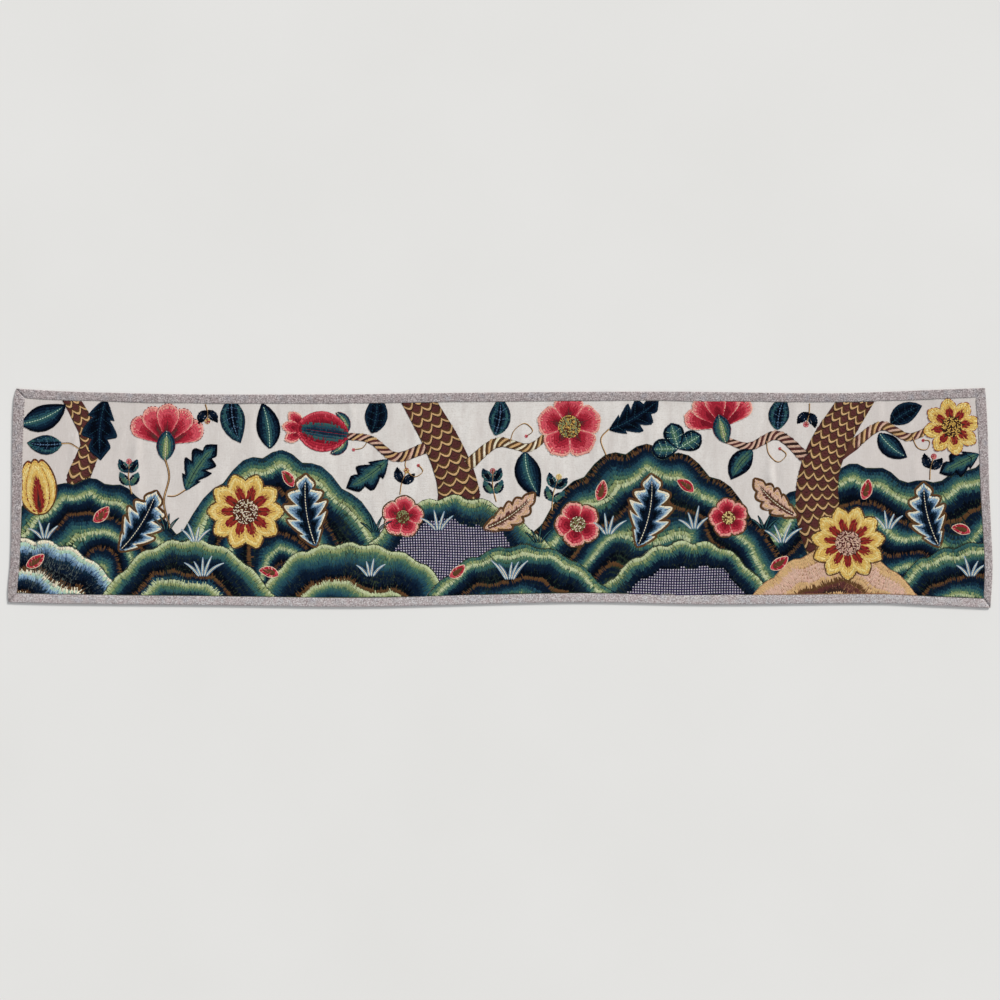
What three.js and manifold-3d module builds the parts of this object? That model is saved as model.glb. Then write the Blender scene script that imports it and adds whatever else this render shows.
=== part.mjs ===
// A crewelwork panel: a long linen cloth worked with coloured wool and bound with grey linen.
// Millimetres, +Z up. The panel lies flat: +X along its length, +Y towards the sky of its design.
// The origin is on the surface it lies on, under the middle of the cloth's bounding box.

import * as THREE from "three";
import { mergeVertices } from "three/addons/utils/BufferGeometryUtils.js";
import Module from "manifold-3d";

const wasm = await Module();
wasm.setup();

// Driving sizes
const CLEARANCE = 0.3;
const LINEN_THICKNESS = 1.6;
const TAPE_THICKNESS = 0.8;
const WOOL_THICKNESS = 0.8;
const TAPE_BACK_WIDTH = 13.5;
const TAPE_FOLD_ROUND = 1.2;
const TAPE_SPINE = 0.9;
const MITRE_SHIFT = 0.25;
const RIPPLE_HEIGHT = 1.2;

const LINEN_LIFT = TAPE_THICKNESS + CLEARANCE;
const EDGE_ROOM = 1.8;
const LINEN_INSET = TAPE_SPINE + EDGE_ROOM;
const TAPE_TOP = LINEN_LIFT + LINEN_THICKNESS + CLEARANCE + TAPE_THICKNESS;

// The four outer edges: how far out each one lies along its run, as uneven as the real cloth
const TOP_EDGE = [
  { at: -924, out: 209 }, { at: -841, out: 204 }, { at: -746, out: 201 }, { at: -593, out: 198 },
  { at: -287, out: 198 }, { at: -58, out: 201 }, { at: 324, out: 203 }, { at: 630, out: 200 },
  { at: 745, out: 203 }, { at: 840, out: 207 }, { at: 926, out: 210 },
];
const BOTTOM_EDGE = [
  { at: -939, out: -199 }, { at: -841, out: -201.5 }, { at: -536, out: -204.7 },
  { at: -287, out: -208 }, { at: -134, out: -205 }, { at: 18, out: -201 }, { at: 171, out: -199 },
  { at: 400, out: -203 }, { at: 726, out: -201 }, { at: 821, out: -205 }, { at: 936, out: -210 },
];
const LEFT_EDGE = [
  { at: -199, out: -939 }, { at: -179, out: -940 }, { at: -118, out: -935 }, { at: -4, out: -932.5 },
  { at: 111, out: -931.5 }, { at: 187, out: -929 }, { at: 209, out: -924 },
];
const RIGHT_EDGE = [
  { at: -210, out: 936 }, { at: -156, out: 939.5 }, { at: -118, out: 940 }, { at: -61, out: 937.5 },
  { at: 15, out: 934 }, { at: 149, out: 930 }, { at: 210, out: 926 },
];

// A smooth curve through the rows of an edge table
function smoothCurve(rows) {
  const slopes = rows.map((row, i) => {
    const before = rows[Math.max(i - 1, 0)];
    const after = rows[Math.min(i + 1, rows.length - 1)];
    return (after.out - before.out) / (after.at - before.at);
  });
  return (where) => {
    let i = 0;
    while (i < rows.length - 2 && where > rows[i + 1].at) i += 1;
    const span = rows[i + 1].at - rows[i].at;
    const t = THREE.MathUtils.clamp((where - rows[i].at) / span, 0, 1);
    const t2 = t * t;
    const t3 = t2 * t;
    return (2 * t3 - 3 * t2 + 1) * rows[i].out + (t3 - 2 * t2 + t) * span * slopes[i]
      + (3 * t2 - 2 * t3) * rows[i + 1].out + (t3 - t2) * span * slopes[i + 1];
  };
}

const edge = {
  top: smoothCurve(TOP_EDGE),
  bottom: smoothCurve(BOTTOM_EDGE),
  left: smoothCurve(LEFT_EDGE),
  right: smoothCurve(RIGHT_EDGE),
};

// The corner where two edges meet, once each is moved inwards by its own inset
function insetCorner(sideX, insetX, sideY, insetY) {
  const signX = sideX === "left" ? 1 : -1;
  const signY = sideY === "bottom" ? 1 : -1;
  let x = signX * -930;
  let y = signY * -205;
  for (let pass = 0; pass < 6; pass += 1) {
    x = edge[sideX](y) + signX * insetX;
    y = edge[sideY](x) + signY * insetY;
  }
  return { x, y };
}

// A closed mesh from points and triangles
function meshGeometry(points, triangles) {
  const geometry = new THREE.BufferGeometry();
  geometry.setAttribute("position", new THREE.Float32BufferAttribute(points.flat(), 3));
  geometry.setIndex(triangles.flat());
  return geometry;
}

function toSolid(geometry) {
  const bare = geometry.clone();
  bare.deleteAttribute("normal");
  bare.deleteAttribute("uv");
  const merged = mergeVertices(bare, 1e-4);
  return new wasm.Manifold(new wasm.Mesh({
    numProp: 3,
    vertProperties: new Float32Array(merged.attributes.position.array),
    triVerts: new Uint32Array(merged.index.array),
  }));
}

function toGeometry(solid) {
  const mesh = solid.getMesh();
  const geometry = new THREE.BufferGeometry();
  geometry.setAttribute("position", new THREE.Float32BufferAttribute(mesh.vertProperties, 3));
  geometry.setIndex(Array.from(mesh.triVerts));
  return geometry;
}

const panel = new THREE.Group();

function addPiece(name, geometry, colour, roughness) {
  const material = new THREE.MeshStandardMaterial({ color: colour, roughness, metalness: 0 });
  const mesh = new THREE.Mesh(geometry, material);
  mesh.name = name;
  panel.add(mesh);
}

// Linen: one sheet on a grid of columns and rows between the four edges.
// Its outermost lines lie inside the binding, lifted by the thickness of the tape beneath them.
const LINEN_COLUMNS = 28;
const LINEN_ROWS = 4;
const LIFTED_INSET = 15;
const SETTLED_INSET = 26;

function gridShares(count, run) {
  const lifted = (LIFTED_INSET - LINEN_INSET) / run;
  const settled = (SETTLED_INSET - LINEN_INSET) / run;
  const open = 1 - 2 * settled;
  const middle = Array.from({ length: count + 1 }, (_, i) => settled + open * (i / count));
  return [0, lifted, ...middle, 1 - lifted, 1];
}

const columnShares = gridShares(LINEN_COLUMNS, 1866);
const rowShares = gridShares(LINEN_ROWS, 405);

function linenPoint(across, up) {
  let x = 0;
  let y = 0;
  for (let pass = 0; pass < 5; pass += 1) {
    x = THREE.MathUtils.lerp(edge.left(y) + LINEN_INSET, edge.right(y) - LINEN_INSET, across);
    y = THREE.MathUtils.lerp(edge.bottom(x) + LINEN_INSET, edge.top(x) - LINEN_INSET, up);
  }
  return { x, y };
}

// Soft upright ripples: narrow folds that waver across the cloth, over wide ones that lean.
// Only their crests rise, and between them the cloth lies at its own thickness.
const NARROW_FOLD = { radiansPerMm: 1 / 34, waver: 0.9, waverPerMm: 1 / 90, share: 1 };
const WIDE_FOLD = { radiansPerMm: 1 / 73, lean: -1 / 160, start: 1.3, share: 0.7 };
const FOLD_LEVEL = 0.32;
const FOLD_SWING = 0.4;

function ripple(x, y) {
  const waver = NARROW_FOLD.waver * Math.sin(y * NARROW_FOLD.waverPerMm);
  const narrow = NARROW_FOLD.share * Math.sin(x * NARROW_FOLD.radiansPerMm + waver);
  const lean = y * WIDE_FOLD.lean + WIDE_FOLD.start;
  const wide = WIDE_FOLD.share * Math.sin(x * WIDE_FOLD.radiansPerMm + lean);
  return RIPPLE_HEIGHT * Math.max(0, FOLD_LEVEL + FOLD_SWING * (narrow + wide));
}

function insideBinding(column, row) {
  return column < 2 || row < 2 || column > columnShares.length - 3 || row > rowShares.length - 3;
}

function linenUnderside(x, y, column, row) {
  return insideBinding(column, row) ? LINEN_LIFT : 0;
}

function linenTop(x, y, column, row) {
  const raised = insideBinding(column, row) ? LINEN_LIFT : ripple(x, y);
  return LINEN_THICKNESS + raised;
}

// A sheet between two heights over the linen's grid
function gridSheet(lowHeight, highHeight) {
  const columns = columnShares.length;
  const rows = rowShares.length;
  const points = [];
  for (const height of [lowHeight, highHeight]) {
    for (let j = 0; j < rows; j += 1) {
      for (let i = 0; i < columns; i += 1) {
        const { x, y } = linenPoint(columnShares[i], rowShares[j]);
        points.push([x, y, height(x, y, i, j)]);
      }
    }
  }
  const low = (i, j) => j * columns + i;
  const high = (i, j) => rows * columns + low(i, j);
  const triangles = [];
  const quad = (a, b, c, d) => triangles.push([a, b, c], [a, c, d]);
  for (let j = 0; j + 1 < rows; j += 1) {
    for (let i = 0; i + 1 < columns; i += 1) {
      quad(high(i, j), high(i + 1, j), high(i + 1, j + 1), high(i, j + 1));
      triangles.push([low(i, j), low(i + 1, j + 1), low(i + 1, j)]);
      triangles.push([low(i, j), low(i, j + 1), low(i + 1, j + 1)]);
    }
  }
  for (let i = 0; i + 1 < columns; i += 1) {
    quad(low(i, 0), low(i + 1, 0), high(i + 1, 0), high(i, 0));
    quad(low(i + 1, rows - 1), low(i, rows - 1), high(i, rows - 1), high(i + 1, rows - 1));
  }
  for (let j = 0; j + 1 < rows; j += 1) {
    quad(low(0, j + 1), low(0, j), high(0, j), high(0, j + 1));
    quad(low(columns - 1, j), low(columns - 1, j + 1), high(columns - 1, j + 1), high(columns - 1, j));
  }
  return meshGeometry(points, triangles);
}

addPiece("linen", gridSheet(linenUnderside, linenTop), 0xe6ddd3, 0.95);

// Binding: a strip folded over each edge, mitred at its ends.
// The front width changes along each side, as the strips were turned in by hand.
const TAPE_STRIPS = [
  { side: "top", startWidth: 17, endWidth: 17, steps: 24 },
  { side: "bottom", startWidth: 17, endWidth: 17, steps: 24 },
  { side: "left", startWidth: 17, endWidth: 21, steps: 13 },
  { side: "right", startWidth: 14, endWidth: 19, steps: 10 },
];
const stripOf = Object.fromEntries(TAPE_STRIPS.map((strip) => [strip.side, strip]));

// A strip's two ends as corners: the strip it meets, and that strip's width there
const TAPE_CORNERS = {
  top: [{ meets: "left", end: "endWidth" }, { meets: "right", end: "endWidth" }],
  bottom: [{ meets: "left", end: "startWidth" }, { meets: "right", end: "startWidth" }],
  left: [{ meets: "bottom", end: "startWidth" }, { meets: "top", end: "startWidth" }],
  right: [{ meets: "bottom", end: "endWidth" }, { meets: "top", end: "endWidth" }],
};

function tapeCorner(side, which, inset) {
  const strip = stripOf[side];
  const corner = TAPE_CORNERS[side][which];
  const ownWidth = which === 0 ? strip.startWidth : strip.endWidth;
  const otherInset = inset * (stripOf[corner.meets][corner.end] / ownWidth);
  const upright = side === "left" || side === "right";
  return upright
    ? insetCorner(side, inset, corner.meets, otherInset)
    : insetCorner(corner.meets, otherInset, side, inset);
}

function tapePoint(side, share, inset, shift) {
  const start = tapeCorner(side, 0, inset);
  const end = tapeCorner(side, 1, inset);
  const inwards = side === "bottom" || side === "left" ? 1 : -1;
  if (side === "top" || side === "bottom") {
    const x = THREE.MathUtils.lerp(start.x + shift, end.x - shift, share);
    return { x, y: edge[side](x) + inwards * inset };
  }
  const y = THREE.MathUtils.lerp(start.y + shift, end.y - shift, share);
  return { x: edge[side](y) + inwards * inset, y };
}

// The folded section, as inset from the edge and height, from the back hem round the fold to the front
function tapeSection(frontWidth) {
  return [
    { inset: TAPE_BACK_WIDTH, height: 0 },
    { inset: TAPE_FOLD_ROUND, height: 0 },
    { inset: 0, height: TAPE_FOLD_ROUND },
    { inset: 0, height: TAPE_TOP - TAPE_FOLD_ROUND },
    { inset: TAPE_FOLD_ROUND, height: TAPE_TOP },
    { inset: frontWidth, height: TAPE_TOP },
    { inset: frontWidth, height: TAPE_TOP - TAPE_THICKNESS },
    { inset: TAPE_SPINE, height: TAPE_TOP - TAPE_THICKNESS },
    { inset: TAPE_SPINE, height: TAPE_THICKNESS },
    { inset: TAPE_BACK_WIDTH, height: TAPE_THICKNESS },
  ];
}

function tapeGeometry({ side, startWidth, endWidth, steps }) {
  const points = [];
  for (let step = 0; step <= steps; step += 1) {
    const share = step / steps;
    for (const corner of tapeSection(THREE.MathUtils.lerp(startWidth, endWidth, share))) {
      const { x, y } = tapePoint(side, share, corner.inset, MITRE_SHIFT);
      points.push([x, y, corner.height]);
    }
  }
  const round = tapeSection(startWidth).length;
  const mirrored = side === "top" || side === "left";
  const triangles = [];
  const face = (a, b, c) => triangles.push(mirrored ? [a, c, b] : [a, b, c]);
  for (let step = 0; step < steps; step += 1) {
    for (let k = 0; k < round; k += 1) {
      const a = step * round + k;
      const b = step * round + ((k + 1) % round);
      face(a, a + round, b);
      face(b, a + round, b + round);
    }
  }
  const outline = tapeSection(startWidth).map((corner) => new THREE.Vector2(corner.inset, corner.height));
  for (const [a, b, c] of THREE.ShapeUtils.triangulateShape(outline, [])) {
    face(a, c, b);
    const far = steps * round;
    face(far + a, far + b, far + c);
  }
  return meshGeometry(points, triangles);
}

for (const strip of TAPE_STRIPS) {
  addPiece(`binding_${strip.side}`, tapeGeometry(strip), 0xa49c9b, 0.9);
}

// Worked shapes: each is drawn flat as a closed outline and stands a wool's thickness above the linen
function turned(points, x, y, degrees) {
  const angle = THREE.MathUtils.degToRad(degrees);
  const cos = Math.cos(angle);
  const sin = Math.sin(angle);
  return points.map((p) => ({ x: x + p.x * cos - p.y * sin, y: y + p.x * sin + p.y * cos }));
}

const LOBE_STEPS = 3;
const LOBE_LEAN = 0.7;

// A leaf or petal from its stalk: widest at the belly, curved by its bend.
// Its lobes are parted by bites and lean forwards towards the tip.
function leafOutline(sizes) {
  const { length, width, belly = 0.45, bend = 0, lobes = 0, bite = 0, full = 0.8, stations = 7 } = sizes;
  const skew = Math.log(0.5) / Math.log(belly);
  const rightSide = [];
  const leftSide = [];
  let x = 0;
  let y = 0;
  const steps = lobes > 0 ? lobes * LOBE_STEPS : stations;
  for (let i = 0; i <= steps; i += 1) {
    const t = i / steps;
    const heading = bend * t;
    if (i > 0) {
      const midHeading = bend * (t - 0.5 / steps);
      x += (length / steps) * Math.cos(midHeading);
      y += (length / steps) * Math.sin(midHeading);
    }
    const crown = Math.abs(Math.sin(Math.PI * lobes * t));
    const bitten = lobes > 0 ? 1 - bite * (1 - crown) : 1;
    const half = (width / 2) * Math.sin(Math.PI * t ** skew) ** full * bitten;
    const forward = LOBE_LEAN * half * crown * (1 - t);
    const tipX = x + forward * Math.cos(heading);
    const tipY = y + forward * Math.sin(heading);
    rightSide.push({ x: tipX + half * Math.sin(heading), y: tipY - half * Math.cos(heading) });
    leftSide.push({ x: tipX - half * Math.sin(heading), y: tipY + half * Math.cos(heading) });
  }
  return [...rightSide, ...leftSide.slice(1, -1).reverse()];
}

function circleOutline(radius, sides) {
  return Array.from({ length: sides }, (_, i) => ({
    x: radius * Math.cos((2 * Math.PI * i) / sides),
    y: radius * Math.sin((2 * Math.PI * i) / sides),
  }));
}

// A band of changing width along a smooth line, for trunks and boughs
function bandOutline(line, startWidth, endWidth, steps) {
  const knots = line.map((p) => new THREE.Vector3(p.x, p.y, 0));
  const curve = new THREE.CatmullRomCurve3(knots, false, "catmullrom");
  const right = [];
  const left = [];
  for (let i = 0; i <= steps; i += 1) {
    const t = i / steps;
    const p = curve.getPoint(t);
    const along = curve.getTangent(t);
    const half = THREE.MathUtils.lerp(startWidth, endWidth, t) / 2;
    right.push({ x: p.x + along.y * half, y: p.y - along.x * half });
    left.push({ x: p.x - along.y * half, y: p.y + along.x * half });
  }
  return [...right, ...left.reverse()];
}

const HILL_FOOT = -230;

// A hill: its crest is a smooth line with shallow lumps, and it reaches down past the lower edge
function hillOutline({ crest, lump, pitch }) {
  const line = smoothCurve(crest);
  const from = crest[0].at;
  const to = crest[crest.length - 1].at;
  const steps = Math.ceil((to - from) / (pitch / 4));
  const points = [{ x: from, y: HILL_FOOT }, { x: to, y: HILL_FOOT }];
  for (let i = steps; i >= 0; i -= 1) {
    const x = from + ((to - from) * i) / steps;
    points.push({ x, y: line(x) + lump * Math.abs(Math.sin((Math.PI * (x - from)) / pitch)) });
  }
  return points;
}

// Flowers as lists of petal outlines round a heart
function rosette({ size, petals, plump = 0.8 }) {
  const length = size / 2;
  const width = plump * size * Math.sin(Math.PI / petals);
  const shapes = [circleOutline(size * 0.2, 10)];
  for (let k = 0; k < petals; k += 1) {
    const shape = leafOutline({ length, width, belly: 0.68, full: 0.8, stations: 5 });
    shapes.push(turned(shape, 0, 0, (360 * k) / petals));
  }
  return shapes;
}

function fanFlower({ size, petals, spread }) {
  const cup = leafOutline({ length: size * 0.5, width: size * 0.32, belly: 0.5, full: 0.6, stations: 5 });
  const shapes = [cup];
  for (let k = 0; k < petals; k += 1) {
    const angle = -spread / 2 + (spread * k) / (petals - 1);
    const sizes = { length: size * 0.7, width: size * 0.38, belly: 0.74, full: 0.6, stations: 5 };
    const shape = leafOutline(sizes);
    shapes.push(turned(shape, size * 0.24, 0, angle));
  }
  return shapes;
}

function tulip({ size }) {
  const shapes = [];
  for (const angle of [-24, 24, 0]) {
    const bend = -angle / 40;
    const petal = leafOutline({ length: size, width: size * 0.42, belly: 0.42, bend, full: 0.7 });
    shapes.push(turned(petal, 0, 0, angle));
  }
  return shapes;
}

function pomegranate({ size }) {
  const fruit = leafOutline({ length: size * 0.8, width: size * 0.62, belly: 0.5, full: 0.55, stations: 9 });
  const shapes = [fruit];
  for (const angle of [-38, 0, 38]) {
    const crown = leafOutline({ length: size * 0.36, width: size * 0.2, belly: 0.6 });
    shapes.push(turned(crown, size * 0.66, 0, angle));
  }
  for (const angle of [-100, 100]) {
    const sepal = leafOutline({ length: size * 0.4, width: size * 0.18, belly: 0.5, bend: -angle / 70 });
    shapes.push(turned(sepal, size * 0.05, 0, angle));
  }
  return shapes;
}

function trefoil({ size }) {
  const leaflet = leafOutline({ length: size * 0.56, width: size * 0.44, belly: 0.6, full: 0.6 });
  return [-75, 0, 75].map((angle) => turned(leaflet, 0, 0, angle));
}

// Colours of the wool masses
const NAVY = 0x1b3145;
const TEAL = 0x24505a;
const SEA_GREEN = 0x3a6e5c;
const LEAF_GREEN = 0x54804f;
const OLIVE = 0x8c9e54;
const BARK = 0x6b4b32;
const BARK_DARK = 0x553431;
const TAN = 0xc9a06c;
const ROSE = 0xc44a58;
const CRIMSON = 0xa02838;
const GOLD = 0xdeba54;
const SKY_BLUE = 0x7f9db5;

const FAR_HILLS = [
  { name: "hill_far_left", colour: TEAL, lump: 12, pitch: 62, crest: [
    { at: -935, out: -40 }, { at: -850, out: 12 }, { at: -770, out: 26 }, { at: -690, out: -4 },
    { at: -620, out: -70 }, { at: -560, out: -150 }] },
  { name: "hill_far_right", colour: SEA_GREEN, lump: 13, pitch: 66, crest: [
    { at: 440, out: -140 }, { at: 530, out: -20 }, { at: 610, out: 36 }, { at: 700, out: 54 },
    { at: 790, out: 22 }, { at: 860, out: 34 }, { at: 940, out: 70 }] },
  { name: "hill_high_left", colour: SEA_GREEN, lump: 14, pitch: 76, crest: [
    { at: -680, out: -150 }, { at: -600, out: -56 }, { at: -520, out: 36 }, { at: -440, out: 78 },
    { at: -360, out: 58 }, { at: -280, out: -4 }, { at: -220, out: -80 }, { at: -170, out: -170 }] },
  { name: "hill_high_right", colour: TEAL, lump: 15, pitch: 80, crest: [
    { at: 0, out: -170 }, { at: 80, out: -50 }, { at: 160, out: 40 }, { at: 250, out: 86 },
    { at: 340, out: 76 }, { at: 430, out: 16 }, { at: 500, out: -66 }, { at: 560, out: -160 }] },
  { name: "hill_middle", colour: LEAF_GREEN, lump: 11, pitch: 58, crest: [
    { at: -290, out: -150 }, { at: -220, out: -60 }, { at: -140, out: -12 }, { at: -60, out: -6 },
    { at: 20, out: -34 }, { at: 90, out: -96 }, { at: 150, out: -170 }] },
];
const NEAR_HILLS = [
  { name: "mound_1", colour: LEAF_GREEN, lump: 8, pitch: 48, crest: [
    { at: -935, out: -84 }, { at: -870, out: -86 }, { at: -790, out: -116 }, { at: -700, out: -200 }] },
  { name: "mound_3", colour: OLIVE, lump: 8, pitch: 52, crest: [
    { at: -470, out: -200 }, { at: -400, out: -118 }, { at: -300, out: -92 }, { at: -200, out: -106 },
    { at: -130, out: -144 }, { at: -90, out: -210 }] },
  { name: "mound_2", colour: NAVY, lump: 8, pitch: 55, crest: [
    { at: -770, out: -200 }, { at: -690, out: -114 }, { at: -600, out: -84 }, { at: -510, out: -110 },
    { at: -420, out: -200 }] },
  { name: "mound_5", colour: SEA_GREEN, lump: 8, pitch: 50, crest: [
    { at: 170, out: -200 }, { at: 260, out: -118 }, { at: 350, out: -88 }, { at: 440, out: -108 },
    { at: 530, out: -200 }] },
  { name: "mound_4", colour: NAVY, lump: 8, pitch: 56, crest: [
    { at: -150, out: -200 }, { at: -70, out: -128 }, { at: 30, out: -96 }, { at: 130, out: -118 },
    { at: 230, out: -200 }] },
  { name: "mound_7", colour: NAVY, lump: 8, pitch: 50, crest: [
    { at: 720, out: -200 }, { at: 810, out: -118 }, { at: 940, out: -84 }] },
  { name: "mound_6", colour: TAN, lump: 8, pitch: 54, crest: [
    { at: 470, out: -200 }, { at: 560, out: -124 }, { at: 650, out: -102 }, { at: 730, out: -128 },
    { at: 810, out: -200 }] },
];

// Trunks and boughs, each along a short line from its root
const TRUNKS = [
  { name: "trunk_left", colour: BARK_DARK, startWidth: 52, endWidth: 30, steps: 8, line: [
    { x: -788, y: -60 }, { x: -806, y: 30 }, { x: -782, y: 110 }, { x: -828, y: 205 }] },
  { name: "trunk_middle", colour: BARK, startWidth: 92, endWidth: 58, steps: 8, line: [
    { x: -96, y: -90 }, { x: -78, y: 0 }, { x: -104, y: 90 }, { x: -168, y: 205 }] },
];
const RIGHT_STEMS = [
  { name: "trunk_right", colour: BARK, startWidth: 98, endWidth: 60, steps: 8, line: [
    { x: 656, y: -150 }, { x: 608, y: -30 }, { x: 618, y: 80 }, { x: 692, y: 205 }] },
  { name: "bough_middle", colour: TAN, startWidth: 22, endWidth: 12, steps: 10, line: [
    { x: -62, y: 62 }, { x: -6, y: 106 }, { x: 54, y: 96 }, { x: 96, y: 126 }] },
  { name: "bough_left", colour: BARK_DARK, startWidth: 21, endWidth: 12, steps: 10, line: [
    { x: -142, y: 96 }, { x: -200, y: 78 }, { x: -248, y: 112 }, { x: -304, y: 118 }] },
  { name: "bough_right", colour: BARK_DARK, startWidth: 21, endWidth: 12, steps: 10, line: [
    { x: 582, y: 78 }, { x: 530, y: 120 }, { x: 476, y: 98 }, { x: 428, y: 112 }] },
  { name: "bough_far_right", colour: TAN, startWidth: 20, endWidth: 12, steps: 10, line: [
    { x: 672, y: 100 }, { x: 728, y: 138 }, { x: 780, y: 116 }, { x: 832, y: 138 }] },
];

// Leaves, each from its stalk: length along its turn, lobes and bites where its edge is cut
const LEAVES = [
  { name: "leaf_01", x: -914, y: 142, turn: 6, length: 94, width: 50, bend: 0.6 },
  { name: "leaf_02", x: -752, y: 190, turn: 252, length: 120, width: 70, lobes: 3, bite: 0.5, bend: 0.45 },
  { name: "leaf_03", x: -600, y: 14, turn: 70, length: 108, width: 62, lobes: 4, bite: 0.5, bend: -0.5 },
  { name: "leaf_04", x: -512, y: 190, turn: -96, length: 88, width: 48, bend: 0.6 },
  { name: "leaf_05", x: -440, y: 94, turn: 88, length: 90, width: 46, bend: 0.4 },
  { name: "leaf_06", x: -246, y: 124, turn: 66, length: 76, width: 44, bend: 0.6 },
  { name: "leaf_07", x: -214, y: 74, turn: 226, length: 98, width: 58, lobes: 3, bite: 0.45, bend: -0.4 },
  { name: "leaf_08", x: -10, y: 120, turn: 66, length: 74, width: 42, bend: 0.6 },
  { name: "leaf_09", x: 48, y: 88, turn: -92, length: 92, width: 50, bend: 0.7 },
  { name: "leaf_10", x: 208, y: 130, turn: 20, length: 112, width: 64, lobes: 4, bite: 0.5, bend: 0.4 },
  { name: "leaf_11", x: 482, y: 90, turn: 216, length: 70, width: 42, bend: 0.6 },
  { name: "leaf_12", x: 530, y: 130, turn: 92, length: 66, width: 40, bend: -0.5 },
  { name: "leaf_13", x: 724, y: 124, turn: -58, length: 72, width: 40, bend: 0.6 },
  { name: "leaf_14", x: 746, y: 142, turn: 44, length: 70, width: 40, bend: -0.5 },
  { name: "leaf_15", x: 914, y: 84, turn: 206, length: 84, width: 50, lobes: 3, bite: 0.45 },
  { name: "leaf_16", x: -836, y: 104, turn: 190, length: 68, width: 38, bend: -0.4 },
  { name: "fern_1", x: -726, y: -100, turn: 44, length: 134, width: 78, lobes: 5, bite: 0.55, bend: 0.5,
    colour: SKY_BLUE },
  { name: "fern_2", x: -352, y: -92, turn: 112, length: 140, width: 84, lobes: 5, bite: 0.55, bend: -0.5,
    colour: SKY_BLUE },
  { name: "fern_3", x: 262, y: -92, turn: 62, length: 142, width: 86, lobes: 5, bite: 0.55, bend: 0.6,
    colour: SKY_BLUE },
  { name: "fern_4", x: 838, y: -92, turn: 118, length: 126, width: 74, lobes: 5, bite: 0.55, bend: -0.5,
    colour: SKY_BLUE },
  { name: "frond_1", x: -30, y: -58, turn: 18, length: 118, width: 46, lobes: 5, bite: 0.45, bend: 0.6,
    colour: TAN },
  { name: "frond_2", x: 566, y: -34, turn: 156, length: 108, width: 46, lobes: 5, bite: 0.45, bend: -0.6,
    colour: TAN },
];

const FLOWERS = [
  { name: "carnation_left", kind: fanFlower, x: -640, y: 72, turn: 86, size: 116, petals: 5, spread: 112,
    colour: ROSE },
  { name: "tulip_left", kind: tulip, x: -878, y: -30, turn: 96, size: 104, colour: GOLD },
  { name: "pomegranate", kind: pomegranate, x: -290, y: 120, turn: 172, size: 126, colour: CRIMSON },
  { name: "rose_middle", kind: rosette, x: 132, y: 136, turn: 20, size: 126, petals: 5, plump: 0.78,
    colour: ROSE },
  { name: "aster_left", kind: rosette, x: -486, y: -26, turn: 0, size: 146, petals: 10, colour: GOLD },
  { name: "aster_right", kind: rosette, x: 664, y: -86, turn: 8, size: 142, petals: 11, colour: GOLD },
  { name: "carnation_right", kind: fanFlower, x: 430, y: 106, turn: 104, size: 110, petals: 5,
    spread: 112, colour: ROSE },
  { name: "star_flower", kind: rosette, x: 862, y: 136, turn: 10, size: 112, petals: 8, plump: 0.7,
    colour: GOLD },
  { name: "pink_1", kind: rosette, x: -186, y: -36, turn: 10, size: 80, petals: 5, plump: 0.78,
    colour: ROSE },
  { name: "pink_2", kind: rosette, x: 148, y: -50, turn: 40, size: 88, petals: 5, plump: 0.78,
    colour: ROSE },
  { name: "pink_3", kind: rosette, x: 436, y: -38, turn: 30, size: 76, petals: 5, plump: 0.78,
    colour: CRIMSON },
  { name: "trefoil", kind: trefoil, x: 340, y: 94, turn: 106, size: 92, colour: TEAL },
];

// The open window inside the binding, a clearance in from the strips' front edges
function windowOutline() {
  const points = [];
  const sideRun = (side, from, to) => {
    const { startWidth, endWidth, steps } = stripOf[side];
    for (let i = 0; i < steps; i += 1) {
      const share = THREE.MathUtils.lerp(from, to, i / steps);
      const inset = THREE.MathUtils.lerp(startWidth, endWidth, share) + 2 * CLEARANCE;
      points.push(tapePoint(side, share, inset, 0));
    }
  };
  sideRun("bottom", 0, 1);
  sideRun("right", 0, 1);
  sideRun("top", 1, 0);
  sideRun("left", 1, 0);
  return points;
}

// An upright prism over an outline, moved outwards by a margin, with its sharpest corners cut short
const SHARPEST_MITRE = 0.12;
const PRISM_FOOT = -5;
const PRISM_TOP = 15;

function outlinePrism(outline, margin) {
  const count = outline.length;
  const corners = outline.map((p) => new THREE.Vector2(p.x, p.y));
  const outwards = THREE.ShapeUtils.area(corners) > 0 ? 1 : -1;
  const edgeNormal = (from, to) => {
    const along = to.clone().sub(from).normalize();
    return new THREE.Vector2(along.y, -along.x).multiplyScalar(outwards);
  };
  const grown = corners.map((corner, i) => {
    const normal = edgeNormal(corners[(i + count - 1) % count], corner);
    normal.add(edgeNormal(corner, corners[(i + 1) % count]));
    const reach = (2 * margin) / Math.max(normal.lengthSq(), SHARPEST_MITRE);
    return corner.clone().addScaledVector(normal, reach);
  });
  const upright = { depth: PRISM_TOP - PRISM_FOOT, bevelEnabled: false };
  const geometry = new THREE.ExtrudeGeometry(new THREE.Shape(grown), upright);
  geometry.translate(0, 0, PRISM_FOOT);
  return toSolid(geometry);
}

function prismOf(outlines, margin) {
  return outlines.map((outline) => outlinePrism(outline, margin)).reduce((sum, next) => sum.add(next));
}

function stemDesign(stem) {
  return { ...stem, outlines: [bandOutline(stem.line, stem.startWidth, stem.endWidth, stem.steps)] };
}

function hillDesign(hill) {
  return { ...hill, outlines: [hillOutline(hill)] };
}

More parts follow.
